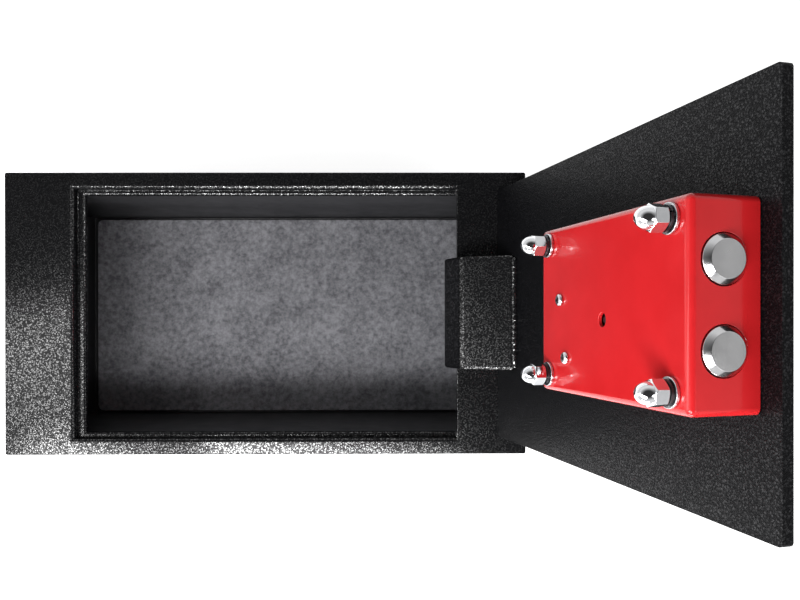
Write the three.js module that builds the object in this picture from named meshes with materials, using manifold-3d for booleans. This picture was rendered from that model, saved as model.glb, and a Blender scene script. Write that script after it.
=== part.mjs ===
// Floor safe: a flanged steel box that drops between floor joists, with a lift-up
// door on a concealed goose-neck hinge and a keypad lock under a red cover.
// Millimetres. +Z is up out of the floor, +X runs to the hinge side, and the origin
// is the centre of the box's underside. The door stands open against its stop.

import * as THREE from 'three';
import { mergeVertices } from 'three/addons/utils/BufferGeometryUtils.js';
import Module from 'manifold-3d';

const wasm = await Module();
wasm.setup();

// Door mouth, the frame's flange round it and the ledge that the door lies on
const mouthLength = 279.5;
const mouthWidth = 182;
const frameSheet = 3;
const frameCorner = 3;
const flangeReachEnd = 11;
const flangeReachSide = 12.5;
const ledgeDrop = 7;
const ledgeSheet = 3;
const ledgeReachEnd = 5.75;
const ledgeReachSide = 3.5;

// Box and its floor mat
const totalHeight = 130;
const boxBeyondMouth = 36.25;
const boxWall = 3;
const boxFloor = 3;
const boxCorner = 4;
const matThickness = 3.5;
const matGapEnd = 3.5;
const matGapSide = 1.75;
const matCorner = 5;

// Door plate, inside the mouth
const doorThickness = 5;
const doorGapHinge = 3.5;
const doorGapFree = 1;
const doorGapSide = 1.5;
const doorCorner = 2;
const seatGap = 0.3;

// Hinge: the pin's place from the mouth and the face, and the arm's bends from the door's hinge edge
const pivotBeyondMouth = 16.25;
const pivotDrop = 15.5;
const pinRadius = 3;
const pinClearance = 0.08;
const pinEnd = 1.5;
const pinHeadRadius = 5;
const pinHeadHeight = 2.5;
const knuckleRadius = 6.5;
const armHeight = 79.5;
const armSheet = 4;
const armBend = 4.5;
const armFoot = 30.2;
const armElbow = [9.7, 30.9];
const armHeel = [-15.2, 35.3];
const bracketSheet = 3;
const bracketLength = 17;
const bracketSideGap = 0.5;
const bracketBelowKnuckle = 1;

// Lock cover on the door's inner face
const coverEdgeGap = 10.5;
const coverLength = 124.75;
const coverHeight = 84;
const coverSheet = 2;
const coverBend = 3;
const coverCorner = 3.5;

// Cover fasteners
const studRadius = 3;
const studInsetHinge = 8.75;
const studInsetFree = 11.25;
const studInsetSide = 8.6;
const studReach = 11.5;
const washerRadius = 6.25;
const washerThickness = 1.4;
const springWasherRadius = 5.4;
const springWasherThickness = 1.5;
const springWasherSplit = 1;
const nutAcrossFlats = 10;
const nutHexHeight = 6;
const nutDomeRadius = 4.7;
const nutDomeHeight = 5.8;

// Keypad on the door's outer face, its body let through the door
const keyColumns = 6;
const keyRows = 2;
const keyPitchX = 10.6;
const keyPitchY = 9.4;
const keySizeX = 8;
const keySizeY = 7.6;
const keyCorner = 1;
const keyHeight = 5.6;
const keyTravel = 1.2;
const keyProud = 0.3;
const keypadCoverGap = 3.75;
const keypadRimX = 2.4;
const keypadRimY = 1.4;
const keypadDepth = 2;
const keypadCorner = 3;
const keypadFlangeSide = 1.7;
const keypadFlangeEnd = 4.4;
const flushSheet = 1;
const contactReach = 1.7;
const contactRadius = 2.2;
const contactHeight = 0.5;
const contactShank = 1;

// Thumb turn, its cup in the door and the crank that moves the carrier
const cupKeypadGap = 0.8;
const cupRadius = 17.5;
const cupWall = 1.5;
const cupBottom = 4.5;
const cupFlangeRadius = 21;
const turnAngle = Math.PI / 2;
const turnBaseRadius = 12;
const turnBaseHeight = 2;
const turnBarLength = 28;
const turnBarWidth = 6;
const turnBarCorner = 2.5;
const spindleRadius = 4;
const crankGap = 2;
const crankSheet = 3.5;
const crankHubRadius = 7;
const crankEndRadius = 5;
const crankPinRadius = 3;
const crankPinHeight = 4.8;
const camScrewRadius = 2;
const camScrewHead = 4;
const camScrewReach = 7.2;
const camScrewSpare = 0.8;

// Locking bolts, the guide they run in and their carrier
const boltRadius = 9.8;
const boltClearance = 0.4;
const boltSpacing = 34.6;
const boltBoardGap = 0.6;
const boltProud = 2.5;
const boltLength = 52;
const boltChamfer = 1.2;
const boltTravel = 16;
const boltScrewRadius = 3;
const boltScrewLength = 12;
const boltScrewHead = 5;
const boltScrewHeadHeight = 4;
const boltScrewRoom = 1;
const guideThickness = 14;
const guideInset = 8;
const guideCoverGap = 1.5;
const guideStudGap = 0.9;
const carrierSheet = 3;
const carrierHeight = 58;
const carrierCupGap = 1.6;
const carrierTailSheet = 2.5;
const carrierTailGap = 1;
const carrierTailRim = 4;
const slotClearance = 0.6;
const slotEndGap = 1;
const slotCorner = 2.5;

// Blocking pin and its motor
const blockPinRadius = 2.5;
const blockPinLength = 14;
const blockPinAhead = 4;
const blockPinProud = 2.9;
const blockPinTravel = 5;
const blockPinGap = 0.6;
const notchSideGap = 1;
const notchEndGap = 1.6;
const motorGearboxLength = 16;
const motorGearboxWidth = 18;
const motorGearboxDepth = 19.5;
const motorCoverGap = 1.5;
const motorCanRadius = 6;
const motorCanLength = 14;

// Battery in its holder
const batteryLength = 48.5;
const batteryWidth = 26;
const batteryDepth = 17.3;
const batteryCorner = 2;
const batteryTailGap = 2.25;
const holderSheet = 1.2;
const holderWallHeight = 10;

// Circuit board: its corner from the cover's edge and middle, and what is on it from that corner
const boardInset = 12.25;
const boardLow = -30;
const boardLength = 56;
const boardWidth = 44;
const boardSheet = 1.6;
const boardBatteryGap = 0.9;
const boardCoverGap = 5.9;
const controllerChip = [26, 13, 12, 8];
const driverChip = [38, 34, 6, 9];
const memoryChip = [24, 36, 5, 5];
const chipHeight = 1.4;
const boardScrewHigh = [9.6, 34.8];
const boardScrewLow = [15.4, 5.8];
const boardScrewRadius = 1.5;
const boardScrewEnd = 0.5;
const boardScrewHead = 3;
const boardScrewHeadTop = 2.1;
const boardScrewHeadEdge = 0.9;
const boardScrewHeadHeight = 1.8;
const spacerRadius = 3.2;
const cableWidth = 9;
const cableThickness = 1.2;
const cableGap = 1.5;

// Reset button on the board, reached through a hole in the cover
const resetPlaceOnBoard = [49.9, 24.7];
const resetHoleRadius = 3.2;
const resetCapRadius = 1.6;
const resetBase = 7;
const resetBaseHeight = 3.2;
const resetTravel = 1;
const resetWellFloor = 0.4;
const resetWellGap = 0.5;
const resetCapReach = 0.5;

// Clearance between pieces that touch inside the turned door, how far a cut or a joined
// piece runs past the face it meets, and the facets of round pieces
const fit = 0.3;
const past = 1;
const roundSides = 32;
const middleSides = 24;
const smallSides = 18;
const bendSteps = 5;
const domeSteps = 6;

// Places that follow from the sizes
const boxLengthInside = mouthLength + 2 * boxBeyondMouth;
const boxWidthInside = mouthWidth - 2 * ledgeReachSide;
const frameLength = boxLengthInside + 2 * (boxWall + flangeReachEnd);
const frameWidth = boxWidthInside + 2 * (boxWall + flangeReachSide);
const faceZ = totalHeight;
const frameUnderZ = faceZ - frameSheet;
const ledgeZ = faceZ - ledgeDrop;
const ledgeUnderZ = ledgeZ - ledgeSheet;
const doorHingeX = mouthLength / 2 - doorGapHinge;
const doorLength = mouthLength - doorGapHinge - doorGapFree;
const doorWidth = mouthWidth - 2 * doorGapSide;
const doorInnerZ = ledgeZ + seatGap;
const pivotX = mouthLength / 2 + pivotBeyondMouth;
const pivotZ = faceZ - pivotDrop;
const pivotS = doorHingeX - pivotX;
const pivotN = doorInnerZ - pivotZ;
const earInside = armHeight / 2 + bracketSideGap;
const earOutside = earInside + bracketSheet;

// The door opens until its outer hinge edge comes down on the face frame
const edgeAcross = -pivotS;
const edgeAbove = pivotN + doorThickness;
const edgeSwing = Math.hypot(edgeAcross, edgeAbove);
const openAngle = Math.atan2(edgeAcross, edgeAbove) + Math.acos((pivotDrop + seatGap) / edgeSwing);

// Depths under the cover, from the door's inner face: holder, battery, board and spacers
const holderFloor = keypadDepth + fit;
const batteryLow = holderFloor + holderSheet + fit;
const boardUnder = batteryLow + batteryDepth + boardBatteryGap;
const boardTop = boardUnder + boardSheet;
const coverInside = boardTop + boardCoverGap;
const coverDepth = coverInside + coverSheet;
const boltDepth = boardUnder - boltScrewHead - boltBoardGap;
const crankStart = cupBottom + cupWall + crankGap;
const crankTop = crankStart + crankSheet;
const carrierTailDepth = crankTop + carrierTailGap;
const carrierTailTop = carrierTailDepth + carrierTailSheet;
const blockPinDepth = carrierTailDepth + carrierTailSheet / 2;

// Places along the door and across it
const coverStart = doorLength - coverEdgeGap - coverLength;
const coverEnd = coverStart + coverLength;
const studY = coverHeight / 2 - studInsetSide;
const studPlaces = [
  [coverStart + studInsetHinge, studY],
  [coverStart + studInsetHinge, -studY],
  [coverEnd - studInsetFree, studY],
  [coverEnd - studInsetFree, -studY],
];
const keypadSizeX = (keyRows - 1) * keyPitchX + keySizeX + 2 * (fit + keypadRimX);
const keypadSizeY = (keyColumns - 1) * keyPitchY + keySizeY + 2 * (fit + keypadRimY);
const keypadPlace = coverStart + coverSheet + keypadCoverGap + keypadSizeX / 2;
const turnPlace = keypadPlace + keypadSizeX / 2 + keypadFlangeSide + cupKeypadGap + cupFlangeRadius;
const flangeTop = -doorThickness - fit - flushSheet;
const keyTop = flangeTop - keyProud;
const boltFront = coverEnd + boltProud;
const boltRear = boltFront - boltLength;
const guideHeight = 2 * (studY - studRadius - guideStudGap);
const crankRadius = boltTravel / 2 / Math.sin(turnAngle / 2);
const crankPinS = turnPlace - crankRadius * Math.sin(turnAngle / 2);
const crankPinY = crankRadius * Math.cos(turnAngle / 2);
const blockPinPlace = turnPlace + blockPinAhead;
const motorFar = -coverHeight / 2 + coverSheet + motorCoverGap;
const motorNear = motorFar + motorGearboxWidth;
const blockPinTip = motorNear + blockPinProud;
const carrierTailHalf = -blockPinTip - blockPinGap;
const notchWidth = 2 * (blockPinRadius + notchSideGap);
const notchDepth = blockPinTravel - blockPinGap + notchEndGap;
const carrierTailEnd = blockPinPlace - boltTravel - notchWidth / 2 - carrierTailRim;
const batteryPlace = carrierTailEnd - batteryTailGap - batteryWidth / 2;
const boardStart = coverStart + boardInset;
const boardPlace = ([along, across]) => [boardStart + along, boardLow + across];
const boardScrewPlaces = [boardPlace(boardScrewHigh), boardPlace(boardScrewLow)];
const resetPlace = boardPlace(resetPlaceOnBoard);

function material(color, roughness, metalness) {
  return new THREE.MeshStandardMaterial({ color, roughness, metalness });
}

const materials = {
  sparkleBlack: material(0x17171b, 0.62, 0.2),
  grainBlack: material(0x15151a, 0.55, 0.1),
  smoothBlack: material(0x1b1b1e, 0.5, 0.2),
  felt: material(0x58585c, 0.95, 0),
  red: material(0xd81f2a, 0.22, 0.1),
  chrome: material(0xdcdde0, 0.12, 1),
  zinc: material(0xb9bcc0, 0.35, 1),
  darkSteel: material(0x3a3a3e, 0.45, 1),
  satinSteel: material(0xc2c2c4, 0.38, 1),
  brass: material(0xc7a455, 0.3, 1),
  blackPlastic: material(0x111113, 0.5, 0),
  greyPlastic: material(0x8f9296, 0.6, 0),
  board: material(0x1e5b34, 0.5, 0),
  battery: material(0x2c3f70, 0.4, 0.2),
};

// Solids

function toManifold(geometry) {
  const bare = geometry.clone();
  bare.deleteAttribute('normal');
  bare.deleteAttribute('uv');
  const merged = mergeVertices(bare, 1e-4);
  return new wasm.Manifold(new wasm.Mesh({
    numProp: 3,
    vertProperties: new Float32Array(merged.attributes.position.array),
    triVerts: new Uint32Array(merged.index.array),
  }));
}

function toGeometry(solid) {
  const mesh = solid.getMesh();
  const geometry = new THREE.BufferGeometry();
  geometry.setAttribute('position', new THREE.BufferAttribute(new Float32Array(mesh.vertProperties), 3));
  geometry.setIndex(new THREE.BufferAttribute(new Uint32Array(mesh.triVerts), 1));
  const flat = geometry.toNonIndexed();
  flat.computeVertexNormals();
  return flat;
}

function join(geometries) {
  const solids = geometries.map(toManifold);
  return toGeometry(solids.reduce((all, one) => all.add(one)));
}

function cut(geometry, tools) {
  return toGeometry(tools.reduce((rest, tool) => rest.subtract(toManifold(tool)), toManifold(geometry)));
}

function box(low, high) {
  const size = high.map((value, i) => value - low[i]);
  const geometry = new THREE.BoxGeometry(...size);
  return geometry.translate(...low.map((value, i) => value + size[i] / 2));
}

function rodZ(radius, low, high, x = 0, y = 0, sides = smallSides) {
  const geometry = new THREE.CylinderGeometry(radius, radius, high - low, sides);
  return geometry.rotateX(Math.PI / 2).translate(x, y, (low + high) / 2);
}

function rodX(radius, low, high, y, z, sides = smallSides) {
  const geometry = new THREE.CylinderGeometry(radius, radius, high - low, sides);
  return geometry.rotateZ(-Math.PI / 2).translate((low + high) / 2, y, z);
}

function rodY(radius, low, high, x, z, sides = smallSides) {
  const geometry = new THREE.CylinderGeometry(radius, radius, high - low, sides);
  return geometry.translate(x, (low + high) / 2, z);
}

// A profile of [radius, height] points turned about Z
function turned(profile, sides = smallSides) {
  const points = profile.map(([radius, height]) => new THREE.Vector2(radius, height));
  return new THREE.LatheGeometry(points, sides).rotateX(Math.PI / 2);
}

// A tube about Z with flat ends
function ring(inside, outside, low, high, sides = smallSides) {
  return turned([[inside, low], [outside, low], [outside, high], [inside, high], [inside, low]], sides);
}

function roundedRectangle(lowX, highX, lowY, highY, radius) {
  const shape = new THREE.Shape();
  shape.moveTo(lowX + radius, lowY);
  shape.lineTo(highX - radius, lowY);
  shape.absarc(highX - radius, lowY + radius, radius, -Math.PI / 2, 0, false);
  shape.lineTo(highX, highY - radius);
  shape.absarc(highX - radius, highY - radius, radius, 0, Math.PI / 2, false);
  shape.lineTo(lowX + radius, highY);
  shape.absarc(lowX + radius, highY - radius, radius, Math.PI / 2, Math.PI, false);
  shape.lineTo(lowX, lowY + radius);
  shape.absarc(lowX + radius, lowY + radius, radius, Math.PI, 1.5 * Math.PI, false);
  return shape;
}

// A rounded rectangle about a middle point
function roundedBlock(x, y, sizeX, sizeY, radius) {
  return roundedRectangle(x - sizeX / 2, x + sizeX / 2, y - sizeY / 2, y + sizeY / 2, radius);
}

function plate(shape, low, high, curveSegments = 4) {
  const geometry = new THREE.ExtrudeGeometry(shape, { depth: high - low, bevelEnabled: false, curveSegments });
  return geometry.translate(0, 0, low);
}

function named(name, geometry, finish) {
  const mesh = new THREE.Mesh(geometry, finish);
  mesh.name = name;
  return mesh;
}

function placed(mesh, x, y) {
  mesh.position.set(x, y, 0);
  return mesh;
}

// Fixed pieces

// The bar to cut away along one mouth edge so that the face rolls into the mouth
function edgeRound(length) {
  const shape = new THREE.Shape();
  shape.moveTo(-past, past);
  shape.lineTo(-past, -frameSheet);
  shape.lineTo(0, -frameSheet);
  shape.absarc(frameSheet, -frameSheet, frameSheet, Math.PI, Math.PI / 2, true);
  shape.lineTo(frameSheet, past);
  const bar = new THREE.ExtrudeGeometry(shape, { depth: length, bevelEnabled: false, curveSegments: 6 });
  return bar.translate(0, 0, -length / 2).rotateX(Math.PI / 2);
}

function mouthRounding() {
  const edges = [
    [mouthLength / 2, mouthWidth, 0],
    [mouthWidth / 2, mouthLength, Math.PI / 2],
    [mouthLength / 2, mouthWidth, Math.PI],
    [mouthWidth / 2, mouthLength, -Math.PI / 2],
  ];
  return edges.map(([reach, length, turn]) =>
    edgeRound(length).translate(reach, 0, faceZ).rotateZ(turn));
}

function boxOutline() {
  return roundedBlock(0, 0, boxLengthInside + 2 * boxWall, boxWidthInside + 2 * boxWall, boxCorner);
}

// Flange with its overhang past the box, rebate and door ledge, open on the hinge side
function faceFrame() {
  const halfX = mouthLength / 2;
  const halfY = mouthWidth / 2;
  const outerX = halfX + frameSheet;
  const outerY = halfY + frameSheet;
  const overBox = plate(boxOutline(), frameUnderZ, faceZ);
  const flange = plate(roundedBlock(0, 0, frameLength, frameWidth, frameCorner), frameUnderZ, faceZ);
  const overhang = cut(flange, [plate(boxOutline(), frameUnderZ - past, faceZ + past)]);
  const rebate = box([-outerX, -outerY, ledgeUnderZ], [outerX, outerY, frameUnderZ]);
  const mouth = box([-halfX, -halfY, ledgeZ], [halfX, halfY, faceZ + past]);
  const insideLedge = box(
    [-halfX + ledgeReachEnd, -boxWidthInside / 2, ledgeUnderZ - past],
    [outerX + past, boxWidthInside / 2, ledgeZ + past]);
  const hingeSide = box([halfX, -halfY, ledgeUnderZ - past], [outerX + past, halfY, frameUnderZ]);
  const cuts = [mouth, insideLedge, hingeSide, ...mouthRounding()];
  return named('face_frame', cut(join([overhang, overBox, rebate]), cuts), materials.sparkleBlack);
}

function bodyShell() {
  const insideX = boxLengthInside / 2;
  const insideY = boxWidthInside / 2;
  const outside = plate(boxOutline(), 0, frameUnderZ);
  const inside = box([-insideX, -insideY, boxFloor], [insideX, insideY, frameUnderZ + past]);
  const notchX = mouthLength / 2 + frameSheet + fit;
  const notch = box([-notchX, -frameWidth, ledgeUnderZ], [notchX, frameWidth, frameUnderZ + past]);
  return named('body_shell', cut(outside, [inside, notch]), materials.smoothBlack);
}

function feltMat() {
  const shape = roundedBlock(
    0, 0, boxLengthInside - 2 * matGapEnd, boxWidthInside - 2 * matGapSide, matCorner);
  return named('felt_mat', plate(shape, boxFloor, boxFloor + matThickness), materials.felt);
}

// A channel welded under the flange whose two ears hold the hinge pin
function hingeBracket() {
  const halfX = bracketLength / 2;
  const bottom = pivotZ - knuckleRadius - bracketBelowKnuckle;
  const block = box([pivotX - halfX, -earOutside, bottom], [pivotX + halfX, earOutside, frameUnderZ]);
  const channel = box(
    [pivotX - halfX - past, -earInside, bottom - past],
    [pivotX + halfX + past, earInside, frameUnderZ - bracketSheet]);
  const bore = rodY(
    pinRadius + pinClearance, -earOutside - past, earOutside + past, pivotX, pivotZ, roundSides);
  return named('hinge_bracket', cut(block, [channel, bore]), materials.smoothBlack);
}

function hingePin() {
  const headStart = earOutside + fit;
  const shank = rodY(pinRadius, -earOutside - pinEnd, headStart + past, pivotX, pivotZ, roundSides);
  const head = rodY(pinHeadRadius, headStart, headStart + pinHeadHeight, pivotX, pivotZ, roundSides);
  return named('hinge_pin', join([shank, head]), materials.zinc);
}

// Door pieces: x runs from the hinge edge to the free edge, z from the inner face inwards

// One side of a bent strip: its centre line set off by half its thickness, an arc at each bend
function stripSide(points, thickness, bend, sign) {
  const outline = [];
  points.forEach((here, i) => {
    const before = i > 0 ? here.clone().sub(points[i - 1]).normalize() : null;
    const after = i < points.length - 1 ? points[i + 1].clone().sub(here).normalize() : null;
    if (!before || !after) {
      const way = before ?? after;
      outline.push(new THREE.Vector2(-way.y, way.x).multiplyScalar(sign * thickness / 2).add(here));
      return;
    }
    const turn = Math.sign(before.cross(after));
    const half = Math.acos(THREE.MathUtils.clamp(before.dot(after), -1, 1)) / 2;
    const centreWay = after.clone().sub(before).setLength(bend / Math.cos(half));
    const centre = here.clone().add(centreWay);
    const start = here.clone().sub(before.clone().multiplyScalar(bend * Math.tan(half))).sub(centre);
    const radius = bend - turn * sign * thickness / 2;
    for (let k = 0; k <= bendSteps; k += 1) {
      const angle = start.angle() + turn * 2 * half * k / bendSteps;
      outline.push(new THREE.Vector2(radius, 0).rotateAround(new THREE.Vector2(), angle).add(centre));
    }
  });
  return outline;
}

function bentStrip(points, thickness, bend) {
  return new THREE.Shape([
    ...stripSide(points, thickness, bend, 1), ...stripSide(points, thickness, bend, -1).reverse()]);
}

// A shape drawn in x and z, run along y between two places
function alongY(shape, low, high) {
  const geometry = new THREE.ExtrudeGeometry(shape, { depth: high - low, bevelEnabled: false });
  return geometry.rotateX(Math.PI / 2).translate(0, high, 0);
}

function hingeArm() {
  const half = armHeight / 2;
  const foot = new THREE.Vector2(armFoot, 0);
  const elbow = new THREE.Vector2(...armElbow);
  const underDoor = foot.clone().sub(elbow).setLength(armSheet).add(foot);
  const line = [underDoor, elbow, new THREE.Vector2(...armHeel), new THREE.Vector2(pivotS, pivotN)];
  const leg = alongY(bentStrip(line, armSheet, armBend), -half, half);
  const knuckle = rodY(knuckleRadius, -half, half, pivotS, pivotN, roundSides);
  const bore = rodY(pinRadius + pinClearance, -half - past, half + past, pivotS, pivotN, roundSides);
  const doorSide = box([0, -armHeight, -2 * armSheet], [armFoot + 2 * armSheet, armHeight, fit]);
  return named('hinge_arm', cut(join([leg, knuckle]), [doorSide, bore]), materials.sparkleBlack);
}

function doorPlate() {
  const shape = roundedRectangle(0, doorLength, -doorWidth / 2, doorWidth / 2, doorCorner);
  const slab = plate(shape, -doorThickness, 0);
  const cupHole = rodZ(cupRadius + cupWall + fit, -doorThickness - past, past, turnPlace, 0, roundSides);
  const halfX = keypadSizeX / 2 + fit;
  const halfY = keypadSizeY / 2 + fit;
  const keypadHole = box(
    [keypadPlace - halfX, -halfY, -doorThickness - past], [keypadPlace + halfX, halfY, past]);
  return named('door_plate', cut(slab, [cupHole, keypadHole]), materials.grainBlack);
}

// The cover's outside, its bend rolled round every edge of the top, open at the door
function coverBlock() {
  const half = coverHeight / 2 - coverBend;
  const spare = 2 * coverBend;
  const inset = roundedRectangle(
    coverStart + coverBend, coverEnd - coverBend, -half, half, coverCorner - coverBend);
  const block = new THREE.ExtrudeGeometry(inset, {
    depth: coverDepth - fit - coverBend + spare, bevelSize: coverBend, bevelThickness: coverBend,
    bevelSegments: 4, curveSegments: 2,
  }).translate(0, 0, fit - spare);
  const below = box([coverStart - past, -coverHeight, -coverDepth], [coverEnd + past, coverHeight, fit]);
  return cut(block, [below]);
}

function lockCover() {
  const halfInside = coverHeight / 2 - coverSheet;
  const inside = box(
    [coverStart + coverSheet, -halfInside, -past], [coverEnd - coverSheet, halfInside, coverInside]);
  const top = [coverInside - past, coverDepth + past];
  const studHoles = studPlaces.map(([s, y]) => rodZ(studRadius + fit, ...top, s, y));
  const screwHoles = boardScrewPlaces.map(([s, y]) => rodZ(boardScrewRadius + fit, ...top, s, y));
  const resetHole = rodZ(resetHoleRadius, ...top, ...resetPlace, roundSides);
  const boltHoles = [1, -1].map((side) =>
    rodX(boltRadius + boltClearance, coverEnd - coverSheet - past, coverEnd + past,
      side * boltSpacing / 2, boltDepth, roundSides));
  const holes = [inside, ...studHoles, ...screwHoles, resetHole, ...boltHoles];
  return named('lock_cover', cut(coverBlock(), holes), materials.red);
}

// A ring with one straight cut through it
function springWasher(low, high) {
  const whole = ring(studRadius + fit, springWasherRadius, low, high, middleSides);
  const split = box(
    [0, -springWasherSplit / 2, low - past], [springWasherRadius + past, springWasherSplit / 2, high + past]);
  return cut(whole, [split]);
}

// A hexagon under a dome, hollow over the end of its stud
function acornNut(low, studEnd) {
  const hexagon = rodZ(nutAcrossFlats / Math.sqrt(3), low, low + nutHexHeight, 0, 0, 6);
  const hexTop = low + nutHexHeight;
  const dome = [[0, hexTop - past], [nutDomeRadius, hexTop - past], [nutDomeRadius, hexTop]];
  for (let k = 1; k < domeSteps; k += 1) {
    const angle = k / domeSteps * Math.PI / 2;
    dome.push([nutDomeRadius * Math.cos(angle), hexTop + nutDomeHeight * Math.sin(angle)]);
  }
  dome.push([0, hexTop + nutDomeHeight]);
  const bore = rodZ(studRadius + fit, low - past, studEnd + fit);
  return cut(join([hexagon, turned(dome)]), [bore]);
}

function coverFasteners() {
  const washerStart = coverDepth + fit;
  const washerEnd = washerStart + washerThickness;
  const springStart = washerEnd + fit;
  const springEnd = springStart + springWasherThickness;
  const studEnd = coverDepth + studReach;
  return studPlaces.flatMap(([s, y], i) => {
    const stud = rodZ(studRadius, fit, studEnd);
    const washer = ring(studRadius + fit, washerRadius, washerStart, washerEnd, roundSides);
    const spring = springWasher(springStart, springEnd);
    const nut = acornNut(springEnd + fit, studEnd);
    return [
      placed(named(`cover_stud_${i + 1}`, stud, materials.zinc), s, y),
      placed(named(`flat_washer_${i + 1}`, washer, materials.zinc), s, y),
      placed(named(`spring_washer_${i + 1}`, spring, materials.darkSteel), s, y),
      placed(named(`acorn_nut_${i + 1}`, nut, materials.chrome), s, y),
    ];
  });
}

// A fixed block in front of the carrier in which both bolts run
function boltGuide() {
  const front = coverEnd - guideInset;
  const back = front - guideThickness;
  const block = box([back, -guideHeight / 2, fit], [front, guideHeight / 2, coverInside - guideCoverGap]);
  const bores = [1, -1].map((side) => rodX(
    boltRadius + boltClearance, back - past, front + past, side * boltSpacing / 2, boltDepth, roundSides));
  return named('bolt_guide', cut(block, bores), materials.zinc);
}

function lockingBolt(y) {
  const whole = turned([
    [0, 0], [boltRadius, 0], [boltRadius, boltLength - boltChamfer],
    [boltRadius - boltChamfer, boltLength], [0, boltLength]], roundSides);
  const tapped = rodZ(boltScrewRadius + fit, -past, boltScrewLength);
  return cut(whole, [tapped]).rotateY(Math.PI / 2).translate(boltRear, y, boltDepth);
}

// The hexagon screw that holds a bolt to the carrier
function boltScrew(y) {
  const seat = boltRear - fit - carrierSheet - fit;
  const shank = rodX(boltScrewRadius, seat - past, boltRear + boltScrewLength - past, y, boltDepth);
  const head = rodX(boltScrewHead, seat - boltScrewHeadHeight, seat, y, boltDepth, 6);
  return join([shank, head]);
}

function lockingBolts() {
  return [['upper', 1], ['lower', -1]].flatMap(([word, side]) => {
    const y = side * boltSpacing / 2;
    return [
      named(`locking_bolt_${word}`, lockingBolt(y), materials.chrome),
      named(`bolt_screw_${word}`, boltScrew(y), materials.zinc),
    ];
  });
}

// Cross plate behind the bolts and a tail over the crank, folded from one sheet
function boltCarrier() {
  const back = boltRear - fit;
  const front = back - carrierSheet;
  const crossLow = cupBottom + cupWall + carrierCupGap;
  const cross = box([front, -carrierHeight / 2, crossLow], [back, carrierHeight / 2, boltDepth + boltRadius]);
  const tail = box(
    [carrierTailEnd, -carrierTailHalf, carrierTailDepth], [back - past, carrierTailHalf, carrierTailTop]);
  const low = carrierTailDepth - past;
  const high = carrierTailTop + past;
  const slotHalf = crankPinRadius + slotClearance;
  const slotReach = crankPinRadius + slotEndGap;
  const slot = plate(
    roundedRectangle(
      crankPinS - slotHalf, crankPinS + slotHalf, crankPinY - slotReach, crankRadius + slotReach, slotCorner),
    low, high);
  const notches = [0, boltTravel].map((shift) => {
    const s = blockPinPlace - shift;
    return box([s - notchWidth / 2, -carrierTailHalf - past, low],
      [s + notchWidth / 2, -carrierTailHalf + notchDepth, high]);
  });
  const screwHoles = [1, -1].map((side) =>
    rodX(boltScrewRadius + fit, front - past, back + past, side * boltSpacing / 2, boltDepth));
  const headHalf = boltScrewHead + boltScrewRoom;
  const headRooms = [1, -1].map((side) => box(
    [front - boltScrewHeadHeight - 2 * boltScrewRoom, side * boltSpacing / 2 - headHalf, low],
    [front, side * boltSpacing / 2 + headHalf, high]));
  const holes = [slot, ...notches, ...screwHoles, ...headRooms];
  return named('bolt_carrier', cut(join([cross, tail]), holes), materials.satinSteel);
}

function knobCup() {
  const outside = cupRadius + cupWall;
  const hole = spindleRadius + fit;
  const cup = turned([
    [hole, cupBottom], [cupRadius, cupBottom], [cupRadius, flangeTop], [cupFlangeRadius, flangeTop],
    [cupFlangeRadius, flangeTop + flushSheet], [outside, flangeTop + flushSheet],
    [outside, cupBottom + cupWall], [hole, cupBottom + cupWall], [hole, cupBottom]], roundSides);
  return placed(named('knob_cup', cup, materials.satinSteel), turnPlace, 0);
}

// Thumb turn with its spindle, its bar across the door while the bolts are drawn back
function thumbTurn() {
  const baseTop = cupBottom - fit;
  const base = rodZ(turnBaseRadius, baseTop - turnBaseHeight, baseTop, 0, 0, roundSides);
  const bar = plate(
    roundedBlock(0, 0, turnBarWidth, turnBarLength, turnBarCorner), -doorThickness, baseTop - past);
  const spindle = rodZ(spindleRadius, baseTop - past, crankStart - fit, 0, 0, middleSides);
  const tapped = rodZ(camScrewRadius + fit, crankStart - camScrewReach - camScrewSpare, crankStart);
  const solid = cut(join([base, bar, spindle]), [tapped]);
  return placed(named('thumb_turn', solid, materials.chrome), turnPlace, 0);
}

// Outline round two circles, the second one at a distance along y
function twoCircles(radius, otherRadius, distance) {
  const touch = Math.asin((radius - otherRadius) / distance);
  const shape = new THREE.Shape();
  shape.absarc(0, 0, radius, Math.PI - touch, 2 * Math.PI + touch, false);
  shape.absarc(0, distance, otherRadius, touch, Math.PI - touch, false);
  return shape;
}

function driveCam() {
  const web = plate(twoCircles(crankHubRadius, crankEndRadius, crankRadius), crankStart, crankTop, 10);
  const pin = rodZ(crankPinRadius, crankTop - past, crankTop + crankPinHeight, 0, crankRadius, middleSides);
  const hole = rodZ(camScrewRadius + fit, crankStart - past, crankTop + past);
  const sinkStart = crankTop - camScrewHead + camScrewRadius - fit;
  const sink = turned([
    [0, sinkStart], [camScrewRadius, sinkStart], [camScrewHead + fit, crankTop],
    [camScrewHead + fit, crankTop + past], [0, crankTop + past]], middleSides);
  const solid = cut(join([web, pin]), [hole, sink]).rotateZ(turnAngle / 2);
  return placed(named('drive_cam', solid, materials.zinc), turnPlace, 0);
}

function camScrew() {
  const neck = crankTop - camScrewHead + camScrewRadius;
  const head = turned([
    [0, neck - past], [camScrewRadius, neck - past], [camScrewRadius, neck],
    [camScrewHead, crankTop], [0, crankTop]], middleSides);
  const shank = rodZ(camScrewRadius, crankStart - camScrewReach, neck, 0, 0, middleSides);
  return placed(named('cam_screw', join([head, shank]), materials.zinc), turnPlace, 0);
}

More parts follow.
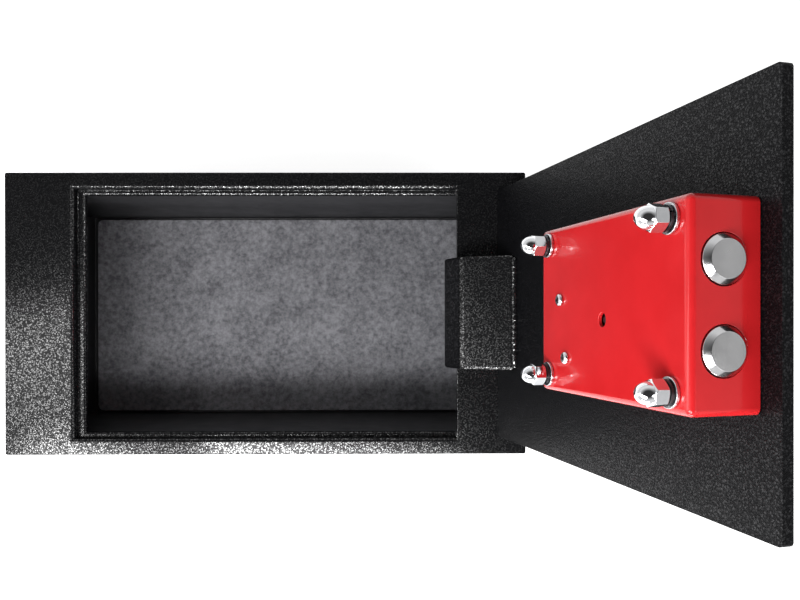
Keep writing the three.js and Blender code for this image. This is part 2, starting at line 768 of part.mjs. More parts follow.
// Gearbox and can of the small motor that drives the blocking pin
function lockMotor() {
  const halfX = motorGearboxLength / 2;
  const gearbox = box(
    [blockPinPlace - halfX, motorFar, fit], [blockPinPlace + halfX, motorNear, motorGearboxDepth]);
  const canEnd = blockPinPlace - halfX + past;
  const canY = (motorNear + motorFar) / 2;
  const can = rodX(motorCanRadius, canEnd - motorCanLength, canEnd, canY, blockPinDepth, middleSides);
  const bore = rodY(
    blockPinRadius + fit, motorNear - blockPinLength, motorNear + past, blockPinPlace, blockPinDepth);
  return named('lock_motor', cut(join([gearbox, can]), [bore]), materials.satinSteel);
}

function blockingPin() {
  const pin = rodY(blockPinRadius, blockPinTip - blockPinLength, blockPinTip, blockPinPlace, blockPinDepth);
  return named('blocking_pin', pin, materials.zinc);
}

function battery() {
  const shape = roundedBlock(batteryPlace, 0, batteryWidth, batteryLength, batteryCorner);
  return named('battery', plate(shape, batteryLow, batteryLow + batteryDepth), materials.battery);
}

function batteryHolder() {
  const halfX = batteryWidth / 2;
  const insideY = batteryLength / 2 + fit;
  const outsideY = insideY + holderSheet;
  const wallTop = holderFloor + holderWallHeight;
  const tray = box([batteryPlace - halfX, -outsideY, holderFloor], [batteryPlace + halfX, outsideY, wallTop]);
  const room = box(
    [batteryPlace - halfX - past, -insideY, holderFloor + holderSheet],
    [batteryPlace + halfX + past, insideY, wallTop + past]);
  return named('battery_holder', cut(tray, [room]), materials.blackPlastic);
}

function circuitBoard() {
  const slab = box(
    [boardStart, boardLow, boardUnder], [boardStart + boardLength, boardLow + boardWidth, boardTop]);
  const sunk = boardTop - boardSheet / 2;
  const [resetS, resetY] = resetPlace;
  const half = resetBase / 2;
  const switchBase = box(
    [resetS - half, resetY - half, sunk], [resetS + half, resetY + half, boardTop + resetBaseHeight]);
  const chips = [controllerChip, driverChip, memoryChip].map(([along, across, sizeS, sizeY]) => {
    const [s, y] = boardPlace([along, across]);
    return box([s - sizeS / 2, y - sizeY / 2, sunk], [s + sizeS / 2, y + sizeY / 2, boardTop + chipHeight]);
  });
  const screwHoles = boardScrewPlaces.map(([s, y]) =>
    rodZ(boardScrewRadius + fit, boardUnder - past, boardTop + past, s, y));
  const capWell = rodZ(
    resetCapRadius + fit, boardTop + resetWellFloor, boardTop + resetBaseHeight + past, resetS, resetY);
  const solid = cut(join([slab, switchBase, ...chips]), [...screwHoles, capWell]);
  return named('circuit_board', solid, materials.board);
}

// Flat lead from the keypad to the board, past the battery
function keypadCable() {
  const side = -batteryLength / 2 - fit - holderSheet - cableGap;
  const cable = box(
    [keypadPlace - cableWidth / 2, side - cableThickness, keypadDepth + fit],
    [keypadPlace + cableWidth / 2, side, boardUnder - fit]);
  return named('keypad_cable', cable, materials.greyPlastic);
}

function boardScrew() {
  const headLow = coverDepth + fit;
  const headHigh = headLow + boardScrewHeadHeight;
  const shank = rodZ(boardScrewRadius, boardUnder - boardScrewEnd, headLow + boardScrewEnd);
  const head = turned([
    [0, headLow], [boardScrewHead, headLow], [boardScrewHead, headLow + boardScrewHeadEdge],
    [boardScrewHeadTop, headHigh], [0, headHigh]], middleSides);
  return join([shank, head]);
}

function boardFasteners() {
  return boardScrewPlaces.flatMap(([s, y], i) => {
    const spacer = ring(boardScrewRadius + fit, spacerRadius, boardTop + fit, coverInside - fit);
    return [
      placed(named(`board_spacer_${i + 1}`, spacer, materials.zinc), s, y),
      placed(named(`board_screw_${i + 1}`, boardScrew(), materials.zinc), s, y),
    ];
  });
}

function resetButton() {
  const low = boardTop + resetWellFloor + resetTravel + resetWellGap;
  const cap = rodZ(resetCapRadius, low, coverInside + resetCapReach, ...resetPlace);
  return named('reset_button', cap, materials.blackPlastic);
}

function keyPlaces() {
  const names = ['1', '2', '3', '4', '5', '6', '7', '8', '9', '0', 'clear', 'enter'];
  return names.map((word, i) => {
    const row = Math.floor(i / keyColumns);
    const column = i % keyColumns;
    return {
      word,
      s: keypadPlace + (row - (keyRows - 1) / 2) * keyPitchX,
      y: ((keyColumns - 1) / 2 - column) * keyPitchY,
    };
  });
}

function contactPlaces() {
  return [1, -1].map((side) => [keypadPlace, side * (keypadSizeY / 2 + contactReach)]);
}

function keypadHousing() {
  const halfX = keypadSizeX / 2;
  const halfY = keypadSizeY / 2;
  const body = box(
    [keypadPlace - halfX, -halfY, flangeTop + flushSheet / 2], [keypadPlace + halfX, halfY, keypadDepth]);
  const flangeShape = roundedBlock(
    keypadPlace, 0, keypadSizeX + 2 * keypadFlangeSide, keypadSizeY + 2 * keypadFlangeEnd, keypadCorner);
  const flange = plate(flangeShape, flangeTop, flangeTop + flushSheet);
  const wellFloor = keyTop + keyHeight + keyTravel + fit;
  const wells = keyPlaces().map(({ s, y }) => box(
    [s - keySizeX / 2 - fit, y - keySizeY / 2 - fit, flangeTop - past],
    [s + keySizeX / 2 + fit, y + keySizeY / 2 + fit, wellFloor]));
  const contactHoles = contactPlaces().map(([s, y]) =>
    rodZ(contactShank + fit, flangeTop - past, flangeTop + flushSheet + past, s, y));
  const solid = cut(join([body, flange]), [...wells, ...contactHoles]);
  return named('keypad_housing', solid, materials.blackPlastic);
}

function keypadKeys() {
  return keyPlaces().map(({ word, s, y }) => {
    const shape = roundedBlock(0, 0, keySizeX, keySizeY, keyCorner);
    const cap = plate(shape, keyTop, keyTop + keyHeight, 2);
    return placed(named(`key_${word}`, cap, materials.greyPlastic), s, y);
  });
}

// Two rivets outside the keypad to which a spare battery is held when the inner one is flat
function powerContacts() {
  const headEnd = flangeTop - fit;
  return contactPlaces().map(([s, y], i) => {
    const head = rodZ(contactRadius, headEnd - contactHeight, headEnd);
    const shank = rodZ(contactShank, headEnd - contactHeight / 2, flangeTop + flushSheet);
    return placed(named(`power_contact_${i + 1}`, join([head, shank]), materials.brass), s, y);
  });
}

function door() {
  const onDoor = new THREE.Group();
  onDoor.position.set(-pivotS, 0, -pivotN);
  onDoor.add(
    hingeArm(), doorPlate(), lockCover(), ...coverFasteners(), boltGuide(), boltCarrier(), ...lockingBolts(),
    knobCup(), thumbTurn(), driveCam(), camScrew(), lockMotor(), blockingPin(), battery(), batteryHolder(),
    circuitBoard(), keypadCable(), ...boardFasteners(), resetButton(),
    keypadHousing(), ...keypadKeys(), ...powerContacts());
  const swing = new THREE.Group();
  swing.position.set(pivotX, 0, pivotZ);
  swing.rotation.y = Math.PI + openAngle;
  swing.add(onDoor);
  return swing;
}

const floorSafe = new THREE.Group();
floorSafe.add(faceFrame(), bodyShell(), feltMat(), hingeBracket(), hingePin(), door());

export default floorSafe;
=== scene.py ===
"""Floor safe with its door standing open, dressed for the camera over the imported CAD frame."""

import math

import bmesh
import bpy
from mathutils import Matrix, Vector, noise


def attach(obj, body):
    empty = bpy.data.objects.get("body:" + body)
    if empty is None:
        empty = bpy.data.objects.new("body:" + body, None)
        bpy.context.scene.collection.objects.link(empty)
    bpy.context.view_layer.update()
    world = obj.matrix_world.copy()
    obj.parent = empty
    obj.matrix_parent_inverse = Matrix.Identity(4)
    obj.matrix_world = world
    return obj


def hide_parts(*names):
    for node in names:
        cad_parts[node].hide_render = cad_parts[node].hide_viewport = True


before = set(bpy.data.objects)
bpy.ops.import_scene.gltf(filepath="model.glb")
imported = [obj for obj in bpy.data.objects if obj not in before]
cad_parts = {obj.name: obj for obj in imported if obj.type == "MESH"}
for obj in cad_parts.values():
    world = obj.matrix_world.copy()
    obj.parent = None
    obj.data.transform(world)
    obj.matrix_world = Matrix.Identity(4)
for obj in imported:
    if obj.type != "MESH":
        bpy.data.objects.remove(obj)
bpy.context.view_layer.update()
mm = 0.001

# Camera, straight above the safe and a little past its middle, looking down into the box.
# Its upright shift sets the picture's middle where the photograph has it.
camera_place = Vector((94.49, -5.87, 665.04)) * mm
camera_turns = {"Z": 0.08, "X": 0.15, "Y": 0.38}
camera_sensor = 36
camera_lens = 32.92
camera_rise = 0.02904

camera_turn = Matrix.Identity(3)
for axis, degrees in camera_turns.items():
    camera_turn = camera_turn @ Matrix.Rotation(math.radians(degrees), 3, axis)
camera = bpy.data.objects.new("camera", bpy.data.cameras.new("camera"))
camera.matrix_world = Matrix.Translation(camera_place) @ camera_turn.transposed().to_4x4()
camera.data.sensor_width = camera_sensor
camera.data.lens = camera_lens
camera.data.shift_y = camera_rise
bpy.context.scene.collection.objects.link(camera)
bpy.context.scene.camera = camera

# Box: 3 mm sheet steel folded up from the floor, its corners rounded, satin black inside and out.
# The two ends stand 7 mm higher than the middle, up to the underside of the face frame.
box_length = 358 * mm
box_width = 181 * mm
box_rim = 120 * mm
box_end_rise = 7 * mm
free_end_start = -143.05 * mm
hinge_end_start = 139 * mm
box_sheet = 3 * mm
box_corner = 4 * mm
box_edge = 0.5 * mm
near = 0.1 * mm  # closer than this counts as the same level


def add_node(tree, kind, values=(), **settings):
    node = tree.nodes.new(kind)
    for setting, value in settings.items():
        setattr(node, setting, value)
    for socket, value in dict(values).items():
        node.inputs[socket].default_value = value
    return node


def wire(tree, *pairs):
    for (source, output), (target, socket) in pairs:
        tree.links.new(source.outputs[output], target.inputs[socket])


def new_group(name, inputs, outputs):
    group = bpy.data.node_groups.new(name, "ShaderNodeTree")
    for socket, value in inputs.items():
        entry = group.interface.new_socket(name=socket, in_out="INPUT", socket_type="NodeSocketFloat")
        entry.default_value = value
    for socket in outputs:
        group.interface.new_socket(name=socket, in_out="OUTPUT", socket_type="NodeSocketFloat")
    return group, add_node(group, "NodeGroupInput"), add_node(group, "NodeGroupOutput")


def new_finish(name, roughness, metallic=0.0, **values):
    finish = bpy.data.materials.new(name)
    finish.use_nodes = True
    shader = finish.node_tree.nodes["Principled BSDF"]
    shader.inputs["Roughness"].default_value = roughness
    shader.inputs["Metallic"].default_value = metallic
    for socket, value in values.items():
        shader.inputs[socket.replace("_", " ")].default_value = value
    return finish, finish.node_tree, shader


def place_group(tree, group, **values):
    node = add_node(tree, "ShaderNodeGroup", node_tree=group)
    for socket, value in values.items():
        node.inputs[socket].default_value = value
    return node


def two_colours(tree, shader, mask, low, high):
    mix = add_node(tree, "ShaderNodeMix", data_type="RGBA")
    mix.inputs[6].default_value = (*low, 1)
    mix.inputs[7].default_value = (*high, 1)
    tree.links.new(mask, mix.inputs[0])
    tree.links.new(mix.outputs[2], shader.inputs["Base Color"])


def value_range(tree, mask, low, high, socket):
    spread = add_node(tree, "ShaderNodeMapRange", {"To Min": low, "To Max": high})
    tree.links.new(mask, spread.inputs["Value"])
    tree.links.new(spread.outputs["Result"], socket)


def add_bump(tree, shader, height, strength, distance):
    bump = add_node(tree, "ShaderNodeBump", {"Strength": strength, "Distance": distance})
    tree.links.new(height, bump.inputs["Height"])
    tree.links.new(bump.outputs["Normal"], shader.inputs["Normal"])


# Soft cloudy marks from handling, and the fine unevenness that goes with them.
surface_marks, marks_in, marks_out = new_group(
    "surface_marks", {"Marks per metre": 60.0, "Grain per metre": 1500.0}, ["Marks", "Height"])
marks_place = add_node(surface_marks, "ShaderNodeTexCoord")
marks_cloud = add_node(surface_marks, "ShaderNodeTexNoise", {"Detail": 5.0, "Roughness": 0.6})
marks_grain = add_node(surface_marks, "ShaderNodeTexNoise", {"Detail": 3.0, "Roughness": 0.55})
marks_spread = add_node(surface_marks, "ShaderNodeMapRange", {"From Min": 0.3, "From Max": 0.7})
wire(surface_marks,
     ((marks_place, "Object"), (marks_cloud, "Vector")),
     ((marks_place, "Object"), (marks_grain, "Vector")),
     ((marks_in, "Marks per metre"), (marks_cloud, "Scale")),
     ((marks_in, "Grain per metre"), (marks_grain, "Scale")),
     ((marks_cloud, "Fac"), (marks_spread, "Value")),
     ((marks_spread, "Result"), (marks_out, "Marks")),
     ((marks_grain, "Fac"), (marks_out, "Height")))


def marked_finish(name, roughness, metallic, scales, colours, rough_range=None, bump=None, **values):
    finish, tree, shader = new_finish(name, roughness, metallic, **values)
    marks = place_group(
        tree, surface_marks, **{"Marks per metre": scales[0], "Grain per metre": scales[1]})
    two_colours(tree, shader, marks.outputs["Marks"], *colours)
    if rough_range:
        value_range(tree, marks.outputs["Marks"], *rough_range, shader.inputs["Roughness"])
    if bump:
        add_bump(tree, shader, marks.outputs["Height"], *bump)
    return finish


smooth_black = marked_finish(
    "smooth_black", 0.42, 0.0, (35.0, 1100.0), ((0.010, 0.010, 0.011), (0.016, 0.016, 0.018)),
    (0.36, 0.5), (0.12, 0.2 * mm))


def block(bm, low, high):
    size = [end - start for start, end in zip(low, high)]
    middle = [(end + start) / 2 for start, end in zip(low, high)]
    place = Matrix.Translation(middle) @ Matrix.Diagonal((*size, 1))
    return bmesh.ops.create_cube(bm, size=1, matrix=place)["verts"]


def bevel(bm, edges, offset, segments):
    bmesh.ops.bevel(
        bm, geom=list(edges), offset=offset, offset_type="OFFSET", segments=segments, profile=0.5,
        affect="EDGES", clamp_overlap=True, material=-1)


def upright_edges(bm):
    return [e for e in bm.edges if abs(e.verts[0].co.z - e.verts[1].co.z) > mm]


def cut_across(bm, place, way, **settings):
    return bmesh.ops.bisect_plane(
        bm, geom=bm.verts[:] + bm.edges[:] + bm.faces[:], plane_co=place, plane_no=way, **settings)


def only(parts, kind):
    return [part for part in parts if isinstance(part, kind)]


def draw_out(bm, faces, way):
    grown = bmesh.ops.extrude_face_region(bm, geom=faces)["geom"]
    bmesh.ops.delete(bm, geom=faces, context="FACES_ONLY")
    bmesh.ops.translate(bm, verts=only(grown, bmesh.types.BMVert), vec=way)
    return only(grown, bmesh.types.BMFace)


def finish_piece(name, bm, finishes, body, nodes, place=None, smooth=35, edge=0.0, sheet=0.0):
    if place is not None:
        bmesh.ops.transform(bm, matrix=place, verts=bm.verts)
    mesh = bpy.data.meshes.new(name)
    bm.to_mesh(mesh)
    bm.free()
    for finish in finishes:
        mesh.materials.append(finish)
    mesh.shade_smooth()
    piece = bpy.data.objects.new(name, mesh)
    bpy.context.scene.collection.objects.link(piece)
    if sheet:
        wall = piece.modifiers.new("wall", "SOLIDIFY")
        wall.thickness = abs(sheet)
        wall.offset = -1 if sheet > 0 else 0
        wall.use_even_offset = True
    if edge:
        rounded = piece.modifiers.new("edge", "BEVEL")
        rounded.width = edge
        rounded.segments = 3
        rounded.limit_method = "ANGLE"
        rounded.angle_limit = math.radians(40)
    mesh.set_sharp_from_angle(angle=math.radians(smooth))
    even = piece.modifiers.new("even_shading", "WEIGHTED_NORMAL")
    even.keep_sharp = True
    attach(piece, body)
    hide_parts(*nodes)
    return piece


bm = bmesh.new()
block(bm, (-box_length / 2, -box_width / 2, 0), (box_length / 2, box_width / 2, box_rim))
bevel(bm, upright_edges(bm), box_corner, 6)
top = [f for f in bm.faces if f.normal.z > 0.5]
bmesh.ops.inset_region(bm, faces=top, thickness=box_sheet, use_even_offset=True)
draw_out(bm, top, (0, 0, box_sheet - box_rim))
for start in (free_end_start, hinge_end_start):
    cut_across(bm, (start, 0, 0), (1, 0, 0))
rim_ends = [
    f for f in bm.faces
    if f.normal.z > 0.5 and f.calc_center_median().z > box_rim - near
    and not free_end_start < f.calc_center_median().x < hinge_end_start
]
draw_out(bm, rim_ends, (0, 0, box_end_rise))
finish_piece("box_shell", bm, [smooth_black], "safe_box", ["body_shell"],
             edge=box_edge)

# Floor mat: grey needle felt, cut a little short of the box's floor and laid in loose.
# It is mottled from its mixed fibres, its cut edge is soft and its top not quite even.
mat_length = 345 * mm
mat_width = 171.5 * mm
mat_thickness = 3.5 * mm
mat_corner = 5 * mm
mat_edge = 0.9 * mm
mat_cell = 2.5 * mm
mat_waves = {22: 0.35, 90: 0.2}  # waves per metre, and how much each adds
mat_wave_height = 0.55 * mm

felt, tree, shader = new_finish("felt", 0.95, Specular_IOR_Level=0.25)
place = add_node(tree, "ShaderNodeTexCoord")
clumps = add_node(tree, "ShaderNodeTexNoise", {"Scale": 260.0, "Detail": 4.0, "Roughness": 0.62})
patches = add_node(tree, "ShaderNodeTexNoise", {"Scale": 38.0, "Detail": 3.0, "Roughness": 0.5})
fibres = add_node(tree, "ShaderNodeTexNoise",
                  {"Scale": 1900.0, "Detail": 4.0, "Roughness": 0.7, "Distortion": 1.4})
shades = add_node(tree, "ShaderNodeMix", {"Factor": 0.38}, data_type="FLOAT")
shades_all = add_node(tree, "ShaderNodeMix", {"Factor": 0.22}, data_type="FLOAT")
spread = add_node(tree, "ShaderNodeMapRange", {"From Min": 0.40, "From Max": 0.60})
wire(tree,
     ((place, "Object"), (clumps, "Vector")), ((place, "Object"), (patches, "Vector")),
     ((place, "Object"), (fibres, "Vector")), ((clumps, "Fac"), (shades, 2)),
     ((fibres, "Fac"), (shades, 3)), ((shades, 0), (shades_all, 2)),
     ((patches, "Fac"), (shades_all, 3)), ((shades_all, 0), (spread, "Value")))
two_colours(tree, shader, spread.outputs["Result"], (0.098, 0.098, 0.109), (0.27, 0.27, 0.289))
value_range(tree, fibres.outputs["Fac"], 0.86, 1.0, shader.inputs["Roughness"])
add_bump(tree, shader, shades.outputs[0], 0.9, 1.1 * mm)


def flat_sheet(bm, low, high, level, cell=None):
    length, width = high[0] - low[0], high[1] - low[1]
    middle = ((low[0] + high[0]) / 2, (low[1] + high[1]) / 2, level)
    return bmesh.ops.create_grid(
        bm, x_segments=round(length / cell) if cell else 1,
        y_segments=round(width / cell) if cell else 1, size=0.5,
        matrix=Matrix.Translation(middle) @ Matrix.Diagonal((length, width, 1, 1)))["verts"]


bm = bmesh.new()
mat_top = box_sheet + mat_thickness
flat_sheet(
    bm, (-mat_length / 2, -mat_width / 2), (mat_length / 2, mat_width / 2), mat_top, mat_cell)
for vert in bm.verts:
    beyond = Vector((
        max(abs(vert.co.x) - (mat_length / 2 - mat_corner), 0),
        max(abs(vert.co.y) - (mat_width / 2 - mat_corner), 0)))
    if beyond.x and beyond.y and beyond.length > mat_corner:
        kept = beyond * (mat_corner / beyond.length)
        vert.co.x -= math.copysign(beyond.x - kept.x, vert.co.x)
        vert.co.y -= math.copysign(beyond.y - kept.y, vert.co.y)
bmesh.ops.solidify(bm, geom=bm.faces[:], thickness=mat_thickness)
for vert in bm.verts:
    if vert.co.z > mat_top - near:
        wave = sum(noise.noise(vert.co * scale) * share for scale, share in mat_waves.items())
        vert.co.z += (wave - 0.5) * mat_wave_height
top_rim = [e for e in bm.edges if e.calc_face_angle(0) > 1 and e.verts[0].co.z > mat_top / 2]
bevel(bm, top_rim, mat_edge, 3)
mat_piece = finish_piece("floor_mat", bm, [felt], "safe_box", ["felt_mat"], smooth=60)

# Hinge bracket: a channel folded from 3 mm plate and welded up under the face frame,
# whose two ears carry the hinge pin, a plain steel pin with a flat head.
zinc = marked_finish(
    "zinc_plate", 0.24, 1.0, (140.0, 1800.0), ((0.55, 0.56, 0.58), (0.68, 0.69, 0.71)),
    (0.16, 0.34), (0.12, 0.1 * mm))

touch = 0.01 * mm  # closer than this counts as the same point


def refined(name, node, finish, body, edge):
    copy = bmesh.new()
    copy.from_mesh(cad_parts[node].data)
    bmesh.ops.remove_doubles(copy, verts=copy.verts, dist=touch)
    bmesh.ops.dissolve_limit(
        copy, angle_limit=math.radians(1), use_dissolve_boundaries=False,
        verts=copy.verts, edges=copy.edges)
    for face in copy.faces:
        face.material_index = 0
    finish_piece(name, copy, [finish], body, [node], edge=edge)


refined("bracket_channel", "hinge_bracket", smooth_black, "safe_box", edge=0.4 * mm)
refined("pin_with_head", "hinge_pin", zinc, "safe_box", edge=0.3 * mm)

# Face frame: one 3 mm sheet. Its flange lies on the floor boards, and on three sides it rolls
# down into the mouth to a narrow ledge that the closed door rests on. Coarse sparkling coat.
frame_top = 130 * mm
frame_length = 380 * mm
frame_width = 206 * mm
frame_sheet = 3 * mm
frame_corner = 1.5 * mm
mouth_length = 279.5 * mm
mouth_width = 182 * mm
ledge_drop = 7 * mm
ledge_end = 5.75 * mm
ledge_side = 3.5 * mm
roll_radius = 3.1 * mm
ledge_fold = 0.35 * mm
ledge_lip = 2.2 * mm
frame_edge = 0.6 * mm

# Grain of a sprayed coat: rounded grains of one size with a finer roughness over them.
coat_grain, grain_in, grain_out = new_group(
    "coat_grain", {"Grains per metre": 800.0, "Warp": 0.0006}, ["Height", "Peaks"])
grain_place = add_node(coat_grain, "ShaderNodeTexCoord")
grain_warp = add_node(coat_grain, "ShaderNodeTexNoise", {"Detail": 2.0, "Roughness": 0.6})
grain_middle = add_node(
    coat_grain, "ShaderNodeVectorMath", {1: (0.5, 0.5, 0.5)}, operation="SUBTRACT")
grain_amount = add_node(coat_grain, "ShaderNodeVectorMath", operation="SCALE")
grain_moved = add_node(coat_grain, "ShaderNodeVectorMath", operation="ADD")
grain_cells = add_node(coat_grain, "ShaderNodeTexVoronoi", feature="F1")
grain_fine = add_node(coat_grain, "ShaderNodeTexNoise", {"Detail": 3.0, "Roughness": 0.65})
grain_finer = add_node(coat_grain, "ShaderNodeMath", {1: 1.3}, operation="MULTIPLY")
grain_height = add_node(coat_grain, "ShaderNodeMix", {"Factor": 0.72}, data_type="FLOAT")
grain_dome = add_node(coat_grain, "ShaderNodeMath", {0: 1.0}, operation="SUBTRACT")
grain_peaks = add_node(coat_grain, "ShaderNodeMapRange", {"From Min": 0.5, "From Max": 0.68})
wire(coat_grain,
     ((grain_place, "Object"), (grain_warp, "Vector")),
     ((grain_in, "Grains per metre"), (grain_warp, "Scale")),
     ((grain_warp, "Color"), (grain_middle, 0)),
     ((grain_middle, "Vector"), (grain_amount, 0)),
     ((grain_in, "Warp"), (grain_amount, "Scale")),
     ((grain_place, "Object"), (grain_moved, 0)),
     ((grain_amount, "Vector"), (grain_moved, 1)),
     ((grain_moved, "Vector"), (grain_cells, "Vector")),
     ((grain_in, "Grains per metre"), (grain_cells, "Scale")),
     ((grain_in, "Grains per metre"), (grain_finer, 0)),
     ((grain_moved, "Vector"), (grain_fine, "Vector")),
     ((grain_finer, "Value"), (grain_fine, "Scale")),
     ((grain_cells, "Distance"), (grain_dome, 1)),
     ((grain_dome, "Value"), (grain_height, 2)),
     ((grain_fine, "Fac"), (grain_height, 3)),
     ((grain_height, 0), (grain_out, "Height")),
     ((grain_height, 0), (grain_peaks, "Value")),
     ((grain_peaks, "Result"), (grain_out, "Peaks")))


def grained_coat(name, roughness, grains, warp, high, coat_range, depth, **values):
    coat, tree, shader = new_finish(name, roughness, Specular_IOR_Level=0.06, **values)
    grain = place_group(tree, coat_grain, **{"Grains per metre": grains, "Warp": warp})
    two_colours(tree, shader, grain.outputs["Peaks"], (0.002, 0.002, 0.0026), high)
    value_range(tree, grain.outputs["Peaks"], *coat_range, shader.inputs["Coat Weight"])
    add_bump(tree, shader, grain.outputs["Height"], 1.0, depth)
    return coat


sparkle_black = grained_coat(
    "sparkle_black", 0.5, 800.0, 0.8 * mm, (0.006, 0.006, 0.007), (0.05, 1.0), 0.9 * mm,
    Coat_Roughness=0.18, Coat_IOR=3.0)

bm = bmesh.new()
flat_sheet(bm, (-frame_length / 2, -frame_width / 2), (frame_length / 2, frame_width / 2), frame_top)
for side in (-1, 1):
    for cut in (Vector((side * mouth_length / 2, 0, 0)), Vector((0, side * mouth_width / 2, 0))):
        cut_across(bm, cut, cut.normalized())
middle = min(bm.faces, key=lambda f: f.calc_center_median().xy.length)
mouth_edges = [e for e in middle.edges if min(v.co.x for v in e.verts) < 0]
bmesh.ops.delete(bm, geom=[middle], context="FACES_ONLY")


def draw_edges(bm, edges, way):
    grown = bmesh.ops.extrude_edge_only(bm, edges=edges)["geom"]
    verts = only(grown, bmesh.types.BMVert)
    bmesh.ops.translate(bm, verts=verts, vec=way)
    return verts, [
        e for e in only(grown, bmesh.types.BMEdge)
        if e.is_boundary and all(v in verts for v in e.verts)
    ]


def face_up(bm):
    bmesh.ops.recalc_face_normals(bm, faces=bm.faces)
    if max(bm.faces, key=lambda f: f.calc_area()).normal.z < 0:
        bmesh.ops.reverse_faces(bm, faces=bm.faces[:])


def level_edges(bm, height):
    return [
        e for e in bm.edges
        if all(abs(v.co.z - height) < touch for v in e.verts) and len(e.link_faces) == 2
        and e.calc_face_angle(0) > 1
    ]


wall_edges = draw_edges(bm, mouth_edges, (0, 0, -ledge_drop))[1]
for vert in draw_edges(bm, wall_edges, (0, 0, 0))[0]:
    vert.co.y -= math.copysign(ledge_side, vert.co.y)
    if vert.co.x < 0:
        vert.co.x += ledge_end
face_up(bm)
bevel(bm, level_edges(bm, frame_top), roll_radius, 7)
bevel(bm, level_edges(bm, frame_top - ledge_drop), ledge_fold, 3)

# The roll ends square at the hinge side: its end faces go, and the flange gets its corners back.
roll_ends = [f for f in bm.faces if len(f.verts) > 8]
for vert in {v for f in roll_ends for v in f.verts if v.co.z > frame_top - touch}:
    if abs(vert.co.y) < mouth_width / 2 + near:
        vert.co = (mouth_length / 2, math.copysign(mouth_width / 2, vert.co.y), frame_top)
bmesh.ops.delete(bm, geom=roll_ends, context="FACES_ONLY")
bmesh.ops.remove_doubles(bm, verts=bm.verts, dist=touch)
face_up(bm)
bmesh.ops.solidify(bm, geom=bm.faces[:], thickness=frame_sheet)
bevel(bm, [
    e for e in level_edges(bm, frame_top - ledge_drop)
    if all(abs(v.co.y) < mouth_width / 2 - ledge_side + near for v in e.verts)
    and (abs(e.verts[0].co.x - e.verts[1].co.x) > mm or e.verts[0].co.x < 0)
], ledge_lip, 6)
bevel(bm, [
    e for e in upright_edges(bm)
    if abs(e.verts[0].co.x) > frame_length / 2 - mm and abs(e.verts[0].co.y) > frame_width / 2 - mm
], frame_corner, 6)


def on_frame_rim(vert):
    return abs(vert.co.x) > frame_length / 2 - 2 * mm or abs(vert.co.y) > frame_width / 2 - 2 * mm


def on_hinge_side(vert):
    return (vert.co.z > frame_top - touch and abs(vert.co.x - mouth_length / 2) < touch
            and abs(vert.co.y) < mouth_width / 2 + touch)


bevel(bm, [
    e for e in bm.edges
    if e.calc_face_angle(0) > 1 and abs(e.verts[0].co.z - e.verts[1].co.z) < touch
    and e.verts[0].co.z > frame_top - frame_sheet - touch
    and (all(map(on_frame_rim, e.verts)) or all(map(on_hinge_side, e.verts)))
], frame_edge, 3)
finish_piece("face_flange", bm, [sparkle_black], "safe_box", ["face_frame"])

# Door plate: 5 mm steel with the finer leather-grain coat. It is let through for the keypad's
# body and for the thumb turn's cup, and stands open past upright against the face frame.
hinge_pin_place = Vector((156, 0, 114.5)) * mm
hinge_from_door = Vector((19.75, 0, -8.8)) * mm
open_angle = math.radians(104.07822)
door_place = (
    Matrix.Translation(hinge_pin_place)
    @ Matrix.Rotation(math.pi + open_angle, 4, "Y")
    @ Matrix.Translation(hinge_from_door)
)
door_length = 275 * mm
door_width = 179 * mm
door_thickness = 5 * mm
door_corner = 2 * mm
door_edge = 0.7 * mm
cup_place = 193 * mm
cup_outside = 19 * mm
keypad_place = 157.5 * mm
keypad_length = 24 * mm
keypad_width = 58 * mm
fit = 0.3 * mm

grain_black = grained_coat(
    "grain_black", 0.42, 900.0, 0.7 * mm, (0.012, 0.012, 0.014), (0.02, 0.6), 0.6 * mm,
    Coat_Roughness=0.26, Coat_IOR=1.5)


def rectangle(bm, low, high, level, corner=0.0):
    verts = flat_sheet(bm, low, high, level)
    face = verts[0].link_faces[0]
    if corner:
        bmesh.ops.bevel(
            bm, geom=verts, offset=corner, offset_type="OFFSET", segments=6, profile=0.5,
            affect="VERTICES", clamp_overlap=True, material=-1)
        face = max(bm.faces, key=lambda f: f.calc_area())
    edges = list(face.edges)
    bmesh.ops.delete(bm, geom=[face], context="FACES_ONLY")
    return edges


def circle(bm, radius, place, segments=48):
    verts = bmesh.ops.create_circle(
        bm, cap_ends=False, radius=radius, segments=segments, matrix=place)["verts"]
    return list({edge for vert in verts for edge in vert.link_edges})


bm = bmesh.new()
outline = rectangle(
    bm, (0, -door_width / 2), (door_length, door_width / 2), -door_thickness, door_corner)
outline += rectangle(
    bm, (keypad_place - keypad_length / 2 - fit, -keypad_width / 2 - fit),
    (keypad_place + keypad_length / 2 + fit, keypad_width / 2 + fit), -door_thickness)
outline += circle(bm, cup_outside + fit, Matrix.Translation((cup_place, 0, -door_thickness)))
bmesh.ops.triangle_fill(bm, use_beauty=True, edges=outline, normal=(0, 0, -1))
if bm.faces[:][0].normal.z > 0:
    bmesh.ops.reverse_faces(bm, faces=bm.faces[:])
bmesh.ops.solidify(bm, geom=bm.faces[:], thickness=door_thickness)
finish_piece("door_panel", bm, [grain_black], "door", ["door_plate"], door_place,
             edge=door_edge)

